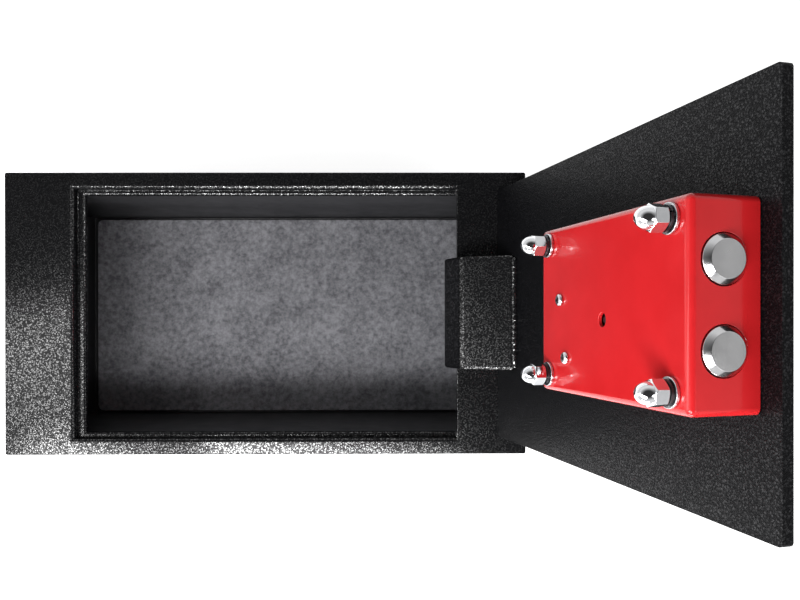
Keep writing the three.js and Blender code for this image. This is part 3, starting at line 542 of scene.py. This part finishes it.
# Hinge arm: a goose neck folded from one 4 mm strip. Its foot is welded to the door, and the other
# end wraps the hinge pin under the face frame, so that the door lifts clear of the mouth's edge.
arm_height = 79.5 * mm
arm_sheet = 4 * mm
arm_bend = 4.5 * mm
arm_foot = Vector((30.2, 0)) * mm
arm_elbow = Vector((9.7, 30.9)) * mm
arm_heel = Vector((-15.2, 35.3)) * mm
arm_pivot = Vector((-19.75, 8.8)) * mm
arm_foot_reach = 0.2 * mm
arm_end_gap = 5 * mm
arm_edge = 1.9 * mm
knuckle_radius = 6.5 * mm
knuckle_edge = 0.4 * mm
pin_radius = 3.08 * mm

bm = bmesh.new()
arm_line = [
    arm_foot + (arm_foot - arm_elbow).normalized() * arm_foot_reach,
    arm_elbow, arm_heel,
    arm_pivot + (arm_heel - arm_pivot).normalized() * arm_end_gap,
]
arm_verts = [bm.verts.new((point.x, -arm_height / 2, point.y)) for point in arm_line]
arm_edges = [bm.edges.new(pair) for pair in zip(arm_verts, arm_verts[1:])]
draw_edges(bm, arm_edges, (0, arm_height, 0))
for fold in [e for e in bm.edges if len(e.link_faces) == 2]:
    bevel(bm, [fold], arm_bend * math.tan(fold.calc_face_angle() / 2), 8)
finish_piece("arm_strip", bm, [sparkle_black], "door", ["hinge_arm"], door_place,
             edge=arm_edge, sheet=-arm_sheet)


def turned(bm, points, segments=48, closed=False):
    length = bm.verts.layers.float.get("along_profile") or bm.verts.layers.float.new("along_profile")
    line = [bm.verts.new((radius, 0, height)) for radius, height in points]
    pairs = list(zip(line, line[1:])) + ([(line[-1], line[0])] if closed else [])
    edges = [bm.edges.new(pair) for pair in pairs]
    run = 0.0
    for i, vert in enumerate(line):
        run += (vert.co - line[i - 1].co).length if i else 0.0
        vert[length] = run
    bmesh.ops.spin(
        bm, geom=line + edges, cent=(0, 0, 0), axis=(0, 0, 1), dvec=(0, 0, 0), angle=2 * math.pi,
        steps=segments, use_merge=True, use_normal_flip=False, use_duplicate=False)
    bmesh.ops.remove_doubles(bm, verts=bm.verts, dist=0.002 * mm)
    bmesh.ops.recalc_face_normals(bm, faces=bm.faces)


along_y = Matrix.Rotation(math.radians(-90), 4, "X")
bm = bmesh.new()
turned(bm, [
    (pin_radius, -arm_height / 2), (knuckle_radius, -arm_height / 2),
    (knuckle_radius, arm_height / 2), (pin_radius, arm_height / 2)], 40, closed=True)
bmesh.ops.transform(
    bm, matrix=Matrix.Translation((arm_pivot.x, 0, arm_pivot.y)) @ along_y, verts=bm.verts)
finish_piece("arm_knuckle", bm, [sparkle_black], "door", ["hinge_arm"], door_place,
             edge=knuckle_edge)

# Two weld beads hold the arm's foot to the door, one along each side of it, rippled as they
# were laid and tapered at both ends. They are sprayed over with the arm.
weld_reach = arm_height / 2 - 2 * mm
weld_side = 2.5 * mm
weld_level = 0.8 * mm
weld_radius = 2.7 * mm
weld_steps = 56
weld_ripples = 0.09
weld_ripple_turn = 2.1
weld_wander = 0.08
weld_wanders_per_metre = 700
weld_taper = 0.85
weld_end = 0.5
for side, name in ((-1, "arm_weld_hinge"), (1, "arm_weld_free")):
    start = Vector((arm_foot.x + side * weld_side, -weld_reach, weld_level))
    way = (Vector((start.x, weld_reach, weld_level)) - start) / weld_steps
    bm = bmesh.new()
    ring = bmesh.ops.create_circle(
        bm, cap_ends=True, radius=weld_radius * weld_end, segments=10,
        matrix=Matrix.Translation(start) @ way.to_track_quat("Z", "X").to_matrix().to_4x4())["verts"]
    for step in range(1, weld_steps + 1):
        ring = draw_edges(bm, [e for e in bm.edges if all(v in ring for v in e.verts)], (0, 0, 0))[0]
        centre = start + way * step
        size = 1 + weld_ripples * math.sin(step * weld_ripple_turn)
        size += weld_wander * noise.noise(centre * weld_wanders_per_metre)
        if step in (1, weld_steps - 1):
            size *= weld_taper
        if step == weld_steps:
            size = weld_end
        for vert in ring:
            out = vert.co - (centre - way)
            out -= out.project(way)
            vert.co = centre + out.normalized() * weld_radius * size
    bmesh.ops.contextual_create(bm, geom=[e for e in bm.edges if all(v in ring for v in e.verts)])
    bmesh.ops.recalc_face_normals(bm, faces=bm.faces)
    finish_piece(name, bm, [sparkle_black], "door", ["hinge_arm"], door_place,
                 smooth=50)

# Lock works under the cover: the two bolts' guide block, the folded carrier behind them, the crank,
# the motor for the blocking pin and their screws. Plain machined and plated steel, never painted.
steel = marked_finish(
    "satin_steel", 0.34, 1.0, (90.0, 2600.0), ((0.50, 0.50, 0.51), (0.60, 0.60, 0.61)),
    (0.28, 0.42), (0.1, 0.1 * mm))

refined("guide_block", "bolt_guide", steel, "door", edge=0.4 * mm)
refined("carrier_plate", "bolt_carrier", steel, "bolt_carriage", edge=0.25 * mm)
refined("motor_box", "lock_motor", steel, "door", edge=0.4 * mm)
refined("crank_plate", "drive_cam", zinc, "turn_knob", edge=0.25 * mm)
refined("crank_screw", "cam_screw", zinc, "turn_knob", edge=0.1 * mm)
refined("block_pin", "blocking_pin", zinc, "block", edge=0.4 * mm)
for level in ("upper", "lower"):
    refined("carrier_screw_" + level, "bolt_screw_" + level, zinc, "bolt_carriage",
            edge=0.3 * mm)

# Locking bolts: 19.6 mm bright steel bar, turned across the end with a polished chamfer.
# They slide in the guide and reach out of the cover's end wall when thrown.
bolt_radius = 9.8 * mm
bolt_front = 267 * mm
bolt_length = 52 * mm
bolt_chamfer = 2.2 * mm
bolt_back_edge = 0.4 * mm
bolt_depth = 16.4 * mm
bolt_side = 17.3 * mm

turned_steel = marked_finish(
    "turned_steel", 0.2, 1.0, (110.0, 2400.0), ((0.54, 0.54, 0.545), (0.63, 0.63, 0.635)),
    (0.18, 0.28))
tree = turned_steel.node_tree
run = add_node(tree, "ShaderNodeAttribute", attribute_name="along_profile")
rings = add_node(tree, "ShaderNodeTexNoise", {"Scale": 5200.0, "Detail": 2.0}, noise_dimensions="1D")
wire(tree, ((run, "Fac"), (rings, "W")))
add_bump(tree, tree.nodes["Principled BSDF"], rings.outputs["Fac"], 0.22, 0.08 * mm)

polished_steel = marked_finish(
    "polished_steel", 0.14, 1.0, (200.0, 2400.0), ((0.62, 0.62, 0.63), (0.7, 0.7, 0.71)), (0.1, 0.2))

along_x = Matrix.Rotation(math.radians(90), 4, "Y")
for side, level in ((1, "upper"), (-1, "lower")):
    bm = bmesh.new()
    turned(bm, [
        (0, 0), (bolt_radius - bolt_back_edge, 0), (bolt_radius, bolt_back_edge),
        (bolt_radius, bolt_length - bolt_chamfer),
        (bolt_radius - 0.15 * mm, bolt_length - 0.9 * bolt_chamfer),
        (bolt_radius - bolt_chamfer, bolt_length - 0.05 * mm),
        (bolt_radius - bolt_chamfer - 0.2 * mm, bolt_length), (0, bolt_length)], 64)
    for face in bm.faces:
        centre = face.calc_center_median()
        at_front = centre.z > bolt_length - bolt_chamfer
        if at_front and centre.xy.length > bolt_radius - 1.3 * bolt_chamfer:
            face.material_index = 1
    at_bolt = Matrix.Translation((bolt_front - bolt_length, side * bolt_side, bolt_depth))
    bmesh.ops.transform(bm, matrix=at_bolt @ along_x, verts=bm.verts)
    finish_piece("bolt_" + level, bm, [turned_steel, polished_steel], "bolt_carriage",
                 ["locking_bolt_" + level], door_place)

# Battery in its open tray, the circuit board on two spacers and the flat lead from the keypad.
# The board carries the lock's controller chips and the small reset switch.
black_plastic = marked_finish(
    "black_plastic", 0.45, 0.0, (120.0, 4200.0), ((0.010, 0.010, 0.011), (0.016, 0.016, 0.017)),
    (0.4, 0.52), (0.35, 0.12 * mm))
grey_plastic = marked_finish(
    "grey_plastic", 0.5, 0.0, (180.0, 4200.0), ((0.26, 0.265, 0.28), (0.31, 0.315, 0.33)),
    (0.44, 0.58), (0.3, 0.1 * mm))
sleeve = marked_finish(
    "battery_sleeve", 0.28, 0.0, (90.0, 900.0), ((0.022, 0.045, 0.15), (0.028, 0.055, 0.18)),
    (0.22, 0.36), (0.15, 0.1 * mm), Coat_Weight=0.3)

board_green, tree, shader = new_finish("green_board", 0.35, Coat_Weight=0.3)
place = add_node(tree, "ShaderNodeTexCoord")
tracks = add_node(tree, "ShaderNodeTexBrick",
                  {"Scale": 320.0, "Mortar Size": 0.06, "Mortar Smooth": 0.2, "Bias": 0.1,
                   "Color1": (0.012, 0.085, 0.034, 1), "Color2": (0.014, 0.105, 0.04, 1),
                   "Mortar": (0.022, 0.15, 0.06, 1)})
wire(tree, ((place, "Object"), (tracks, "Vector")), ((tracks, "Color"), (shader, "Base Color")))
add_bump(tree, shader, tracks.outputs["Fac"], 0.15, 0.05 * mm)

refined("battery_block", "battery", sleeve, "door", edge=1.0 * mm)
refined("battery_tray", "battery_holder", black_plastic, "door", edge=0.3 * mm)
refined("lock_board", "circuit_board", board_green, "door", edge=0.12 * mm)
refined("lead_flat", "keypad_cable", grey_plastic, "door", edge=0.3 * mm)
refined("reset_cap", "reset_button", black_plastic, "reset", edge=0.3 * mm)
for number in ("1", "2"):
    refined("spacer_" + number, "board_spacer_" + number, zinc, "door", edge=0.2 * mm)

# Lock cover: a deep drawn 2 mm steel lid over the lock, sprayed gloss red, its top edges rolled.
# It has holes for the bolts in its end wall and one for the reset switch in its top.
cover_start = 139.75 * mm
cover_end = 264.5 * mm
cover_side = 42 * mm
cover_depth = 31.5 * mm
cover_roll = 3 * mm
cover_sheet = 2 * mm
cover_hole_edge = 0.35 * mm
bolt_hole = 10.2 * mm
reset_place = Vector((201.9, -5.3)) * mm
reset_hole = 3.2 * mm

red_paint = marked_finish(
    "red_paint", 0.2, 0.0, (45.0, 420.0), ((0.52, 0.0132, 0.0158), (0.585, 0.0155, 0.019)),
    (0.17, 0.26), (0.06, 0.3 * mm), Specular_IOR_Level=0.25, Coat_Weight=0.35, Coat_Roughness=0.07)

bm = bmesh.new()
block(bm, (cover_start, -cover_side, fit), (cover_end, cover_side, cover_depth))
bmesh.ops.delete(bm, geom=[f for f in bm.faces if f.normal.z < -0.5], context="FACES_ONLY")
bevel(bm, [e for e in bm.edges if not e.is_boundary], cover_roll, 8)
flat_top = max((f for f in bm.faces if f.normal.z > 0.99), key=lambda f: f.calc_area())
flat_end = max((f for f in bm.faces if f.normal.x > 0.99), key=lambda f: f.calc_area())
top_edges = list(flat_top.edges)
end_edges = list(flat_end.edges)
bmesh.ops.delete(bm, geom=[flat_top, flat_end], context="FACES_ONLY")
top_edges += circle(bm, reset_hole, Matrix.Translation((*reset_place, cover_depth)), 32)
for side in (1, -1):
    end_edges += circle(
        bm, bolt_hole, Matrix.Translation((cover_end, side * bolt_side, bolt_depth)) @ along_x, 64)
for edges, way in ((top_edges, (0, 0, 1)), (end_edges, (1, 0, 0))):
    filled = bmesh.ops.triangle_fill(bm, use_beauty=True, edges=edges, normal=way)["geom"]
    for face in filled:
        if isinstance(face, bmesh.types.BMFace) and face.normal.dot(Vector(way)) < 0:
            face.normal_flip()
finish_piece("red_cover", bm, [red_paint], "door", ["lock_cover"], door_place,
             edge=cover_hole_edge, sheet=cover_sheet)

# Cover fasteners: four studs from the door, each with a flat washer, a split spring washer and a
# chromed acorn nut. The spring washer's dark steel also stands for painted shade between the nut and
# the flat washer. The two small pan-head screws hold the board's spacers; their cross recesses are
# painted dark as shade.
stud_ends = (148.5 * mm, 253.25 * mm)
stud_side = 33.4 * mm
stud_hole = 3.3 * mm
washer_start = 31.8 * mm
washer_end = 33.2 * mm
washer_radius = 6.25 * mm
washer_edge = 0.22 * mm
spring_start = 33.5 * mm
spring_end = 35 * mm
spring_inside = stud_hole + 0.1 * mm
spring_outside = 5.4 * mm
spring_lift = 0.35 * mm
spring_half_gap = math.asin(0.5 * mm / spring_outside)
spring_steps = 40
spring_edge = 0.12 * mm
nut_start = 35.3 * mm
nut_hex_end = 41.3 * mm
nut_end = 47.1 * mm
nut_flats = 10 * mm
nut_dome_radius = 4.7 * mm
nut_edge = 0.15 * mm
nut_turns = [0.35, 1.3, 0.1, 0.8]

chrome = marked_finish(
    "chrome", 0.06, 1.0, (260.0, 900.0), ((0.72, 0.73, 0.75), (0.8, 0.81, 0.83)),
    (0.04, 0.1), (0.03, 0.1 * mm))
# Dark steel for the split spring washers, whose darkness also stands for painted shade in the gap
# under each nut; the same finish paints shade into the screws' cross recesses.
dark_steel = marked_finish(
    "dark_steel", 0.38, 1.0, (160.0, 2200.0), ((0.035, 0.035, 0.04), (0.075, 0.075, 0.08)),
    (0.28, 0.45), (0.1, 0.1 * mm))


def split_washer(turn):
    washer = bmesh.new()
    end = [washer.verts.new((radius, 0, level)) for radius, level in (
        (spring_inside, spring_start + 0.05 * mm), (spring_outside, spring_start),
        (spring_outside, spring_end - spring_lift),
        (spring_inside, spring_end - spring_lift - 0.05 * mm))]
    cap = washer.faces.new(end)
    bmesh.ops.rotate(
        washer, verts=end, cent=(0, 0, 0), matrix=Matrix.Rotation(spring_half_gap, 3, "Z"))
    bmesh.ops.spin(
        washer, geom=[cap, *cap.edges, *end], cent=(0, 0, 0), axis=(0, 0, 1),
        dvec=(0, 0, spring_lift / spring_steps), angle=2 * (math.pi - spring_half_gap),
        steps=spring_steps, use_merge=False, use_normal_flip=False, use_duplicate=False)
    bmesh.ops.recalc_face_normals(washer, faces=washer.faces)
    bmesh.ops.rotate(washer, verts=washer.verts, cent=(0, 0, 0), matrix=Matrix.Rotation(turn, 3, "Z"))
    return washer


def acorn_nut():
    nut = bmesh.new()
    across_corners = nut_flats / math.sqrt(3) + 0.02 * mm
    dome = [
        (nut_dome_radius * math.cos(k * math.pi / 16),
         nut_hex_end + (nut_end - nut_hex_end) * math.sin(k * math.pi / 16)) for k in range(8)
    ]
    turned(nut, [
        (stud_hole, nut_start), (nut_flats / 2 - 0.1 * mm, nut_start),
        (across_corners, nut_start + 0.45 * mm), (across_corners, nut_hex_end - 0.5 * mm),
        (nut_flats / 2 - 0.1 * mm, nut_hex_end), *dome, (0, nut_end)], 60)
    for k in range(6):
        out = Vector((math.cos(k * math.pi / 3), math.sin(k * math.pi / 3), 0))
        cut = cut_across(nut, out * nut_flats / 2, out, dist=0.0005 * mm, clear_outer=True)
        bmesh.ops.contextual_create(nut, geom=only(cut["geom_cut"], bmesh.types.BMEdge))
    bmesh.ops.recalc_face_normals(nut, faces=nut.faces)
    return nut


stud_places = [(end, side * stud_side) for end in stud_ends for side in (1, -1)]
for i, (along, across) in enumerate(stud_places):
    number = str(i + 1)
    at_stud = door_place @ Matrix.Translation((along, across, 0))
    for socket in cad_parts["cover_stud_" + number].material_slots:
        socket.material = zinc
    bm = bmesh.new()
    turned(bm, [(stud_hole, washer_start), (washer_radius, washer_start), (washer_radius, washer_end),
                (stud_hole, washer_end)], 56, closed=True)
    finish_piece("washer_" + number, bm, [zinc], "door", ["flat_washer_" + number],
                 at_stud, edge=washer_edge)
    # The spring washer's dark steel also stands for the painted shade between nut and flat washer.
    finish_piece("split_ring_" + number, split_washer(nut_turns[i] * 4), [dark_steel], "door",
                 ["spring_washer_" + number], at_stud, edge=spring_edge)
    finish_piece("dome_nut_" + number, acorn_nut(), [chrome], "door",
                 ["acorn_nut_" + number], at_stud @ Matrix.Rotation(nut_turns[i], 4, "Z"),
                 edge=nut_edge)

screw_places = [(161.6 * mm, 4.8 * mm), (167.4 * mm, -24.2 * mm)]
screw_head = 31.8 * mm
screw_head_radius = 3 * mm
screw_radius = 1.5 * mm
screw_end = 21.5 * mm
cross_half = 0.45 * mm
cross_reach = 1.6 * mm
cross_depth = 0.9 * mm
cross_level = screw_head + 1.5 * mm
for i, (along, across) in enumerate(screw_places):
    number = str(i + 1)
    at_screw = door_place @ Matrix.Translation((along, across, 0)) @ Matrix.Rotation(0.4 + i, 4, "Z")
    bm = bmesh.new()
    turned(bm, [
        (0, screw_end), (screw_radius, screw_end), (screw_radius, screw_head),
        (screw_head_radius - 0.15 * mm, screw_head), (screw_head_radius, screw_head + 0.2 * mm),
        (screw_head_radius, screw_head + 0.8 * mm),
        (screw_head_radius - 0.45 * mm, screw_head + 1.45 * mm),
        (screw_head_radius - 1.2 * mm, screw_head + 1.75 * mm), (0, screw_head + 1.8 * mm)], 40)
    for axis in (Vector((1, 0, 0)), Vector((0, 1, 0))):
        for reach in (-cross_reach, -cross_half, cross_half, cross_reach):
            head = [f for f in bm.faces if f.calc_center_median().z > cross_level]
            parts = {part for f in head for part in (f, *f.edges, *f.verts)}
            bmesh.ops.bisect_plane(bm, geom=list(parts), plane_co=axis * reach, plane_no=axis)
    cross = []
    for face in bm.faces:
        centre = face.calc_center_median()
        spans = sorted((abs(centre.x), abs(centre.y)))
        if centre.z > cross_level and spans[0] < cross_half and spans[1] < cross_reach:
            cross.append(face)
    # The cross recess gets the dark steel finish: painted shade in its hollow, where the screw itself
    # is zinc.
    for face in draw_out(bm, cross, (0, 0, -cross_depth)):
        face.material_index = 1
    finish_piece("pan_screw_" + number, bm, [zinc, dark_steel], "door",
                 ["board_screw_" + number], at_screw)

# Cup and thumb turn: a pressed steel cup sunk in the door and the chromed grip in its middle,
# which turns a quarter to draw the bolts. The grip's bar stays just under the door's face.
cup_radius = 17.5 * mm
cup_bottom = 4.5 * mm
cup_sheet = 1.5 * mm
cup_bend = 2 * mm
cup_flange = 21 * mm
flange_top = -6.3 * mm
flange_under = -5.3 * mm
flange_bend = 1 * mm
flange_roll = 0.5 * mm
spindle_hole = 4.3 * mm
at_turn = door_place @ Matrix.Translation((cup_place, 0, 0))

bm = bmesh.new()
turned(bm, [
    (spindle_hole, cup_bottom), (cup_radius - cup_bend, cup_bottom),
    (cup_radius - 0.3 * cup_bend, cup_bottom - 0.3 * cup_bend), (cup_radius, cup_bottom - cup_bend),
    (cup_radius, flange_top + flange_bend),
    (cup_radius + 0.3 * flange_bend, flange_top + 0.3 * flange_bend),
    (cup_radius + flange_bend, flange_top), (cup_flange - flange_roll, flange_top),
    (cup_flange, flange_top + flange_roll), (cup_flange, flange_under), (cup_outside, flange_under),
    (cup_outside, cup_bottom + cup_sheet - flange_bend),
    (cup_outside - flange_bend, cup_bottom + cup_sheet),
    (spindle_hole, cup_bottom + cup_sheet)], 72, closed=True)
finish_piece("turn_cup", bm, [turned_steel], "door", ["knob_cup"], at_turn)

turn_base_top = cup_bottom - fit
turn_base_radius = 12 * mm
turn_neck_radius = 4 * mm
turn_neck_end = 7.7 * mm
grip_half_length = 14 * mm
grip_half_width = 3 * mm
grip_corner = 2.4 * mm
grip_edge = 1.1 * mm
grip_waist = 0.22
grip_waist_reach = 6 * mm
bm = bmesh.new()
turned(bm, [
    (0, turn_base_top - 2 * mm), (turn_base_radius - 0.8 * mm, turn_base_top - 2 * mm),
    (turn_base_radius, turn_base_top - 1.3 * mm), (turn_base_radius, turn_base_top),
    (turn_neck_radius, turn_base_top), (turn_neck_radius, turn_neck_end), (0, turn_neck_end)], 56)
finish_piece("turn_base", bm, [chrome], "turn_knob", ["thumb_turn"], at_turn)
bm = bmesh.new()
block(bm, (-grip_half_width, -grip_half_length, -door_thickness),
      (grip_half_width, grip_half_length, turn_base_top - mm))
bevel(bm, upright_edges(bm), grip_corner, 6)
grip_rim = [e for e in bm.edges if all(v.co.z < -door_thickness + near for v in e.verts)]
bevel(bm, grip_rim, grip_edge, 4)
for vert in bm.verts:
    vert.co.x *= 1 - grip_waist * math.exp(-(vert.co.y / grip_waist_reach) ** 2)
finish_piece("turn_grip", bm, [chrome], "turn_knob", ["thumb_turn"], at_turn)

# Keypad: a thin black moulding with twelve wells on the door's outer face, its raised grey keys
# standing just proud of it, and two brass rivets where an outside battery is held to power it.
key_half_x = 4 * mm
key_half_y = 3.8 * mm
key_top = -6.6 * mm
key_height = 5.6 * mm
key_corner = 1 * mm
key_edge = 0.45 * mm
key_pitch_x = 10.6 * mm
key_pitch_y = 9.4 * mm
sign_size = 5.2 * mm
sign_extrude = 0.12 * mm
sign_proud = 0.05 * mm

key_print = marked_finish(
    "key_print", 0.5, 0.0, (300.0, 4000.0), ((0.01, 0.01, 0.012), (0.02, 0.02, 0.022)))

refined("keypad_body", "keypad_housing", black_plastic, "door", edge=0.25 * mm)
key_signs = {digit: digit for digit in "1234567890"} | {"clear": "*", "enter": "#"}
for i, (word, sign) in enumerate(key_signs.items()):
    row, column = divmod(i, 6)
    at_key = door_place @ Matrix.Translation((
        keypad_place + (row - 0.5) * key_pitch_x, (2.5 - column) * key_pitch_y, 0))
    bm = bmesh.new()
    block(bm, (-key_half_x, -key_half_y, key_top), (key_half_x, key_half_y, key_top + key_height))
    bevel(bm, upright_edges(bm), key_corner, 4)
    bevel(bm, [e for e in bm.edges if all(v.co.z < key_top + near for v in e.verts)], key_edge, 3)
    line = bpy.data.curves.new("sign_" + word, "FONT")
    line.body = sign
    line.size = sign_size
    line.align_x = "CENTER"
    line.align_y = "CENTER"
    line.extrude = sign_extrude
    line.resolution_u = 5
    lettered = bpy.data.objects.new("sign_" + word, line)
    bpy.context.scene.collection.objects.link(lettered)
    shown = lettered.evaluated_get(bpy.context.evaluated_depsgraph_get())
    sign_mesh = bpy.data.meshes.new_from_object(shown)
    bpy.data.objects.remove(lettered)
    bpy.data.curves.remove(line)
    sign_mesh.transform(Matrix((
        (0, -1, 0, 0), (-1, 0, 0, 0), (0, 0, -1, key_top - sign_proud), (0, 0, 0, 1))))
    cap_faces = set(bm.faces)
    bm.from_mesh(sign_mesh)
    for face in bm.faces:
        if face not in cap_faces:
            face.material_index = 1
    bpy.data.meshes.remove(sign_mesh)
    finish_piece("key_cap_" + word, bm, [grey_plastic, key_print], "key_" + word,
                 ["key_" + word], at_key)

contact_side = keypad_width / 2 + 1.7 * mm
contact_shank = 1 * mm
contact_head = flange_top - fit
brass = marked_finish(
    "brass", 0.25, 1.0, (420.0, 2600.0), ((0.5, 0.33, 0.085), (0.62, 0.42, 0.13)),
    (0.18, 0.36), (0.1, 0.1 * mm))
for side, number in ((1, "1"), (-1, "2")):
    bm = bmesh.new()
    turned(bm, [(0, flange_under), (contact_shank, flange_under), (contact_shank, contact_head),
                (2.2 * mm, contact_head), (2.15 * mm, contact_head - 0.3 * mm),
                (1.6 * mm, contact_head - 0.47 * mm), (0, contact_head - 0.5 * mm)], 32)
    finish_piece("contact_rivet_" + number, bm, [brass], "door", ["power_contact_" + number],
                 door_place @ Matrix.Translation((keypad_place, side * contact_side, 0)))

# Photographer's table, lamps and surroundings: a pale floor that shows as pure white, a long strip
# lamp high above the near side, two small ones over the mouth, a low strip in front that catches
# the rolled edges, and one soft lamp at each side.
floor_reach = 6
floor_glow = 0.8
floor = bpy.data.objects.new("floor", bpy.data.meshes.new("floor"))
bm = bmesh.new()
bmesh.ops.create_grid(bm, x_segments=1, y_segments=1, size=floor_reach)
bm.to_mesh(floor.data)
bm.free()
bpy.context.scene.collection.objects.link(floor)

floor_finish, tree, shader = new_finish("floor_white", 0.9, Specular_IOR_Level=0.1)
shader.inputs["Base Color"].default_value = (0.82, 0.82, 0.82, 1)
shader.inputs["Emission Color"].default_value = (1, 1, 1, 1)
path = add_node(tree, "ShaderNodeLightPath")
seen = add_node(tree, "ShaderNodeMath", operation="MAXIMUM")
seen_all = add_node(tree, "ShaderNodeMath", operation="MAXIMUM")
glow = add_node(tree, "ShaderNodeMath", {1: floor_glow}, operation="MULTIPLY")
wire(tree,
     ((path, "Is Camera Ray"), (seen, 0)), ((path, "Is Glossy Ray"), (seen, 1)),
     ((seen, "Value"), (seen_all, 0)), ((path, "Is Transmission Ray"), (seen_all, 1)),
     ((seen_all, "Value"), (glow, 0)), ((glow, "Value"), (shader, "Emission Strength")))
floor.data.materials.append(floor_finish)


def softbox(name, place, aim, size, power):
    lamp = bpy.data.lights.new(name, "AREA")
    lamp.shape = "RECTANGLE"
    lamp.size, lamp.size_y = size
    lamp.energy = power
    holder = bpy.data.objects.new(name, lamp)
    holder.location = place
    holder.visible_camera = False
    holder.rotation_euler = (Vector(aim) - Vector(place)).to_track_quat("-Z", "Y").to_euler()
    bpy.context.scene.collection.objects.link(holder)


softbox("key_lamp", (-0.35, -0.52, 1.28), (-0.1, 0.0, 0.1), (0.9, 0.16), 9.5)
softbox("edge_lamp", (0.0, -0.21, 0.58), (0.02, -0.1, 0.1), (0.32, 0.07), 1.4)
softbox("fill_lamp", (-0.37, -0.05, 0.62), (-0.15, 0.0, 0.1), (0.14, 0.28), 0.4)
softbox("left_lamp", (-1.30, -0.35, 0.60), (0.1, 0.0, 0.2), (0.6, 0.6), 2.9)
softbox("right_lamp", (0.85, -0.40, 1.25), (-0.1, 0.0, 0.1), (0.4, 0.4), 1.5)
softbox("front_lamp", (0.05, -1.1, 0.4), (0.0, 0.0, 0.1), (0.8, 0.15), 10.0)

# The room itself: white to the camera, a weak even light on the object, and in reflections
# pale at the horizon and dark overhead.
room_light = 0.26
world = bpy.data.worlds.new("studio")
world.use_nodes = True
bpy.context.scene.world = world
tree = world.node_tree
backdrop = tree.nodes["Background"]
path = add_node(tree, "ShaderNodeLightPath")
place = add_node(tree, "ShaderNodeTexCoord")
parts = add_node(tree, "ShaderNodeSeparateXYZ")
height = add_node(tree, "ShaderNodeMapRange",
                  {"From Min": 0.45, "From Max": 0.85, "To Min": 0.85, "To Max": 0.04})
reflected = add_node(tree, "ShaderNodeMath", operation="MAXIMUM")
gloss = add_node(tree, "ShaderNodeMix", {2: room_light}, data_type="FLOAT")
whole = add_node(tree, "ShaderNodeMix", {3: 1.0}, data_type="FLOAT")
wire(tree,
     ((place, "Generated"), (parts, "Vector")), ((parts, "Z"), (height, "Value")),
     ((path, "Is Glossy Ray"), (reflected, 0)), ((path, "Is Transmission Ray"), (reflected, 1)),
     ((reflected, "Value"), (gloss, 0)), ((height, "Result"), (gloss, 3)),
     ((path, "Is Camera Ray"), (whole, 0)), ((gloss, 0), (whole, 2)),
     ((whole, 0), (backdrop, "Strength")))
backdrop.inputs["Color"].default_value = (1, 1, 1, 1)

bpy.context.scene.view_settings.view_transform = "Standard"
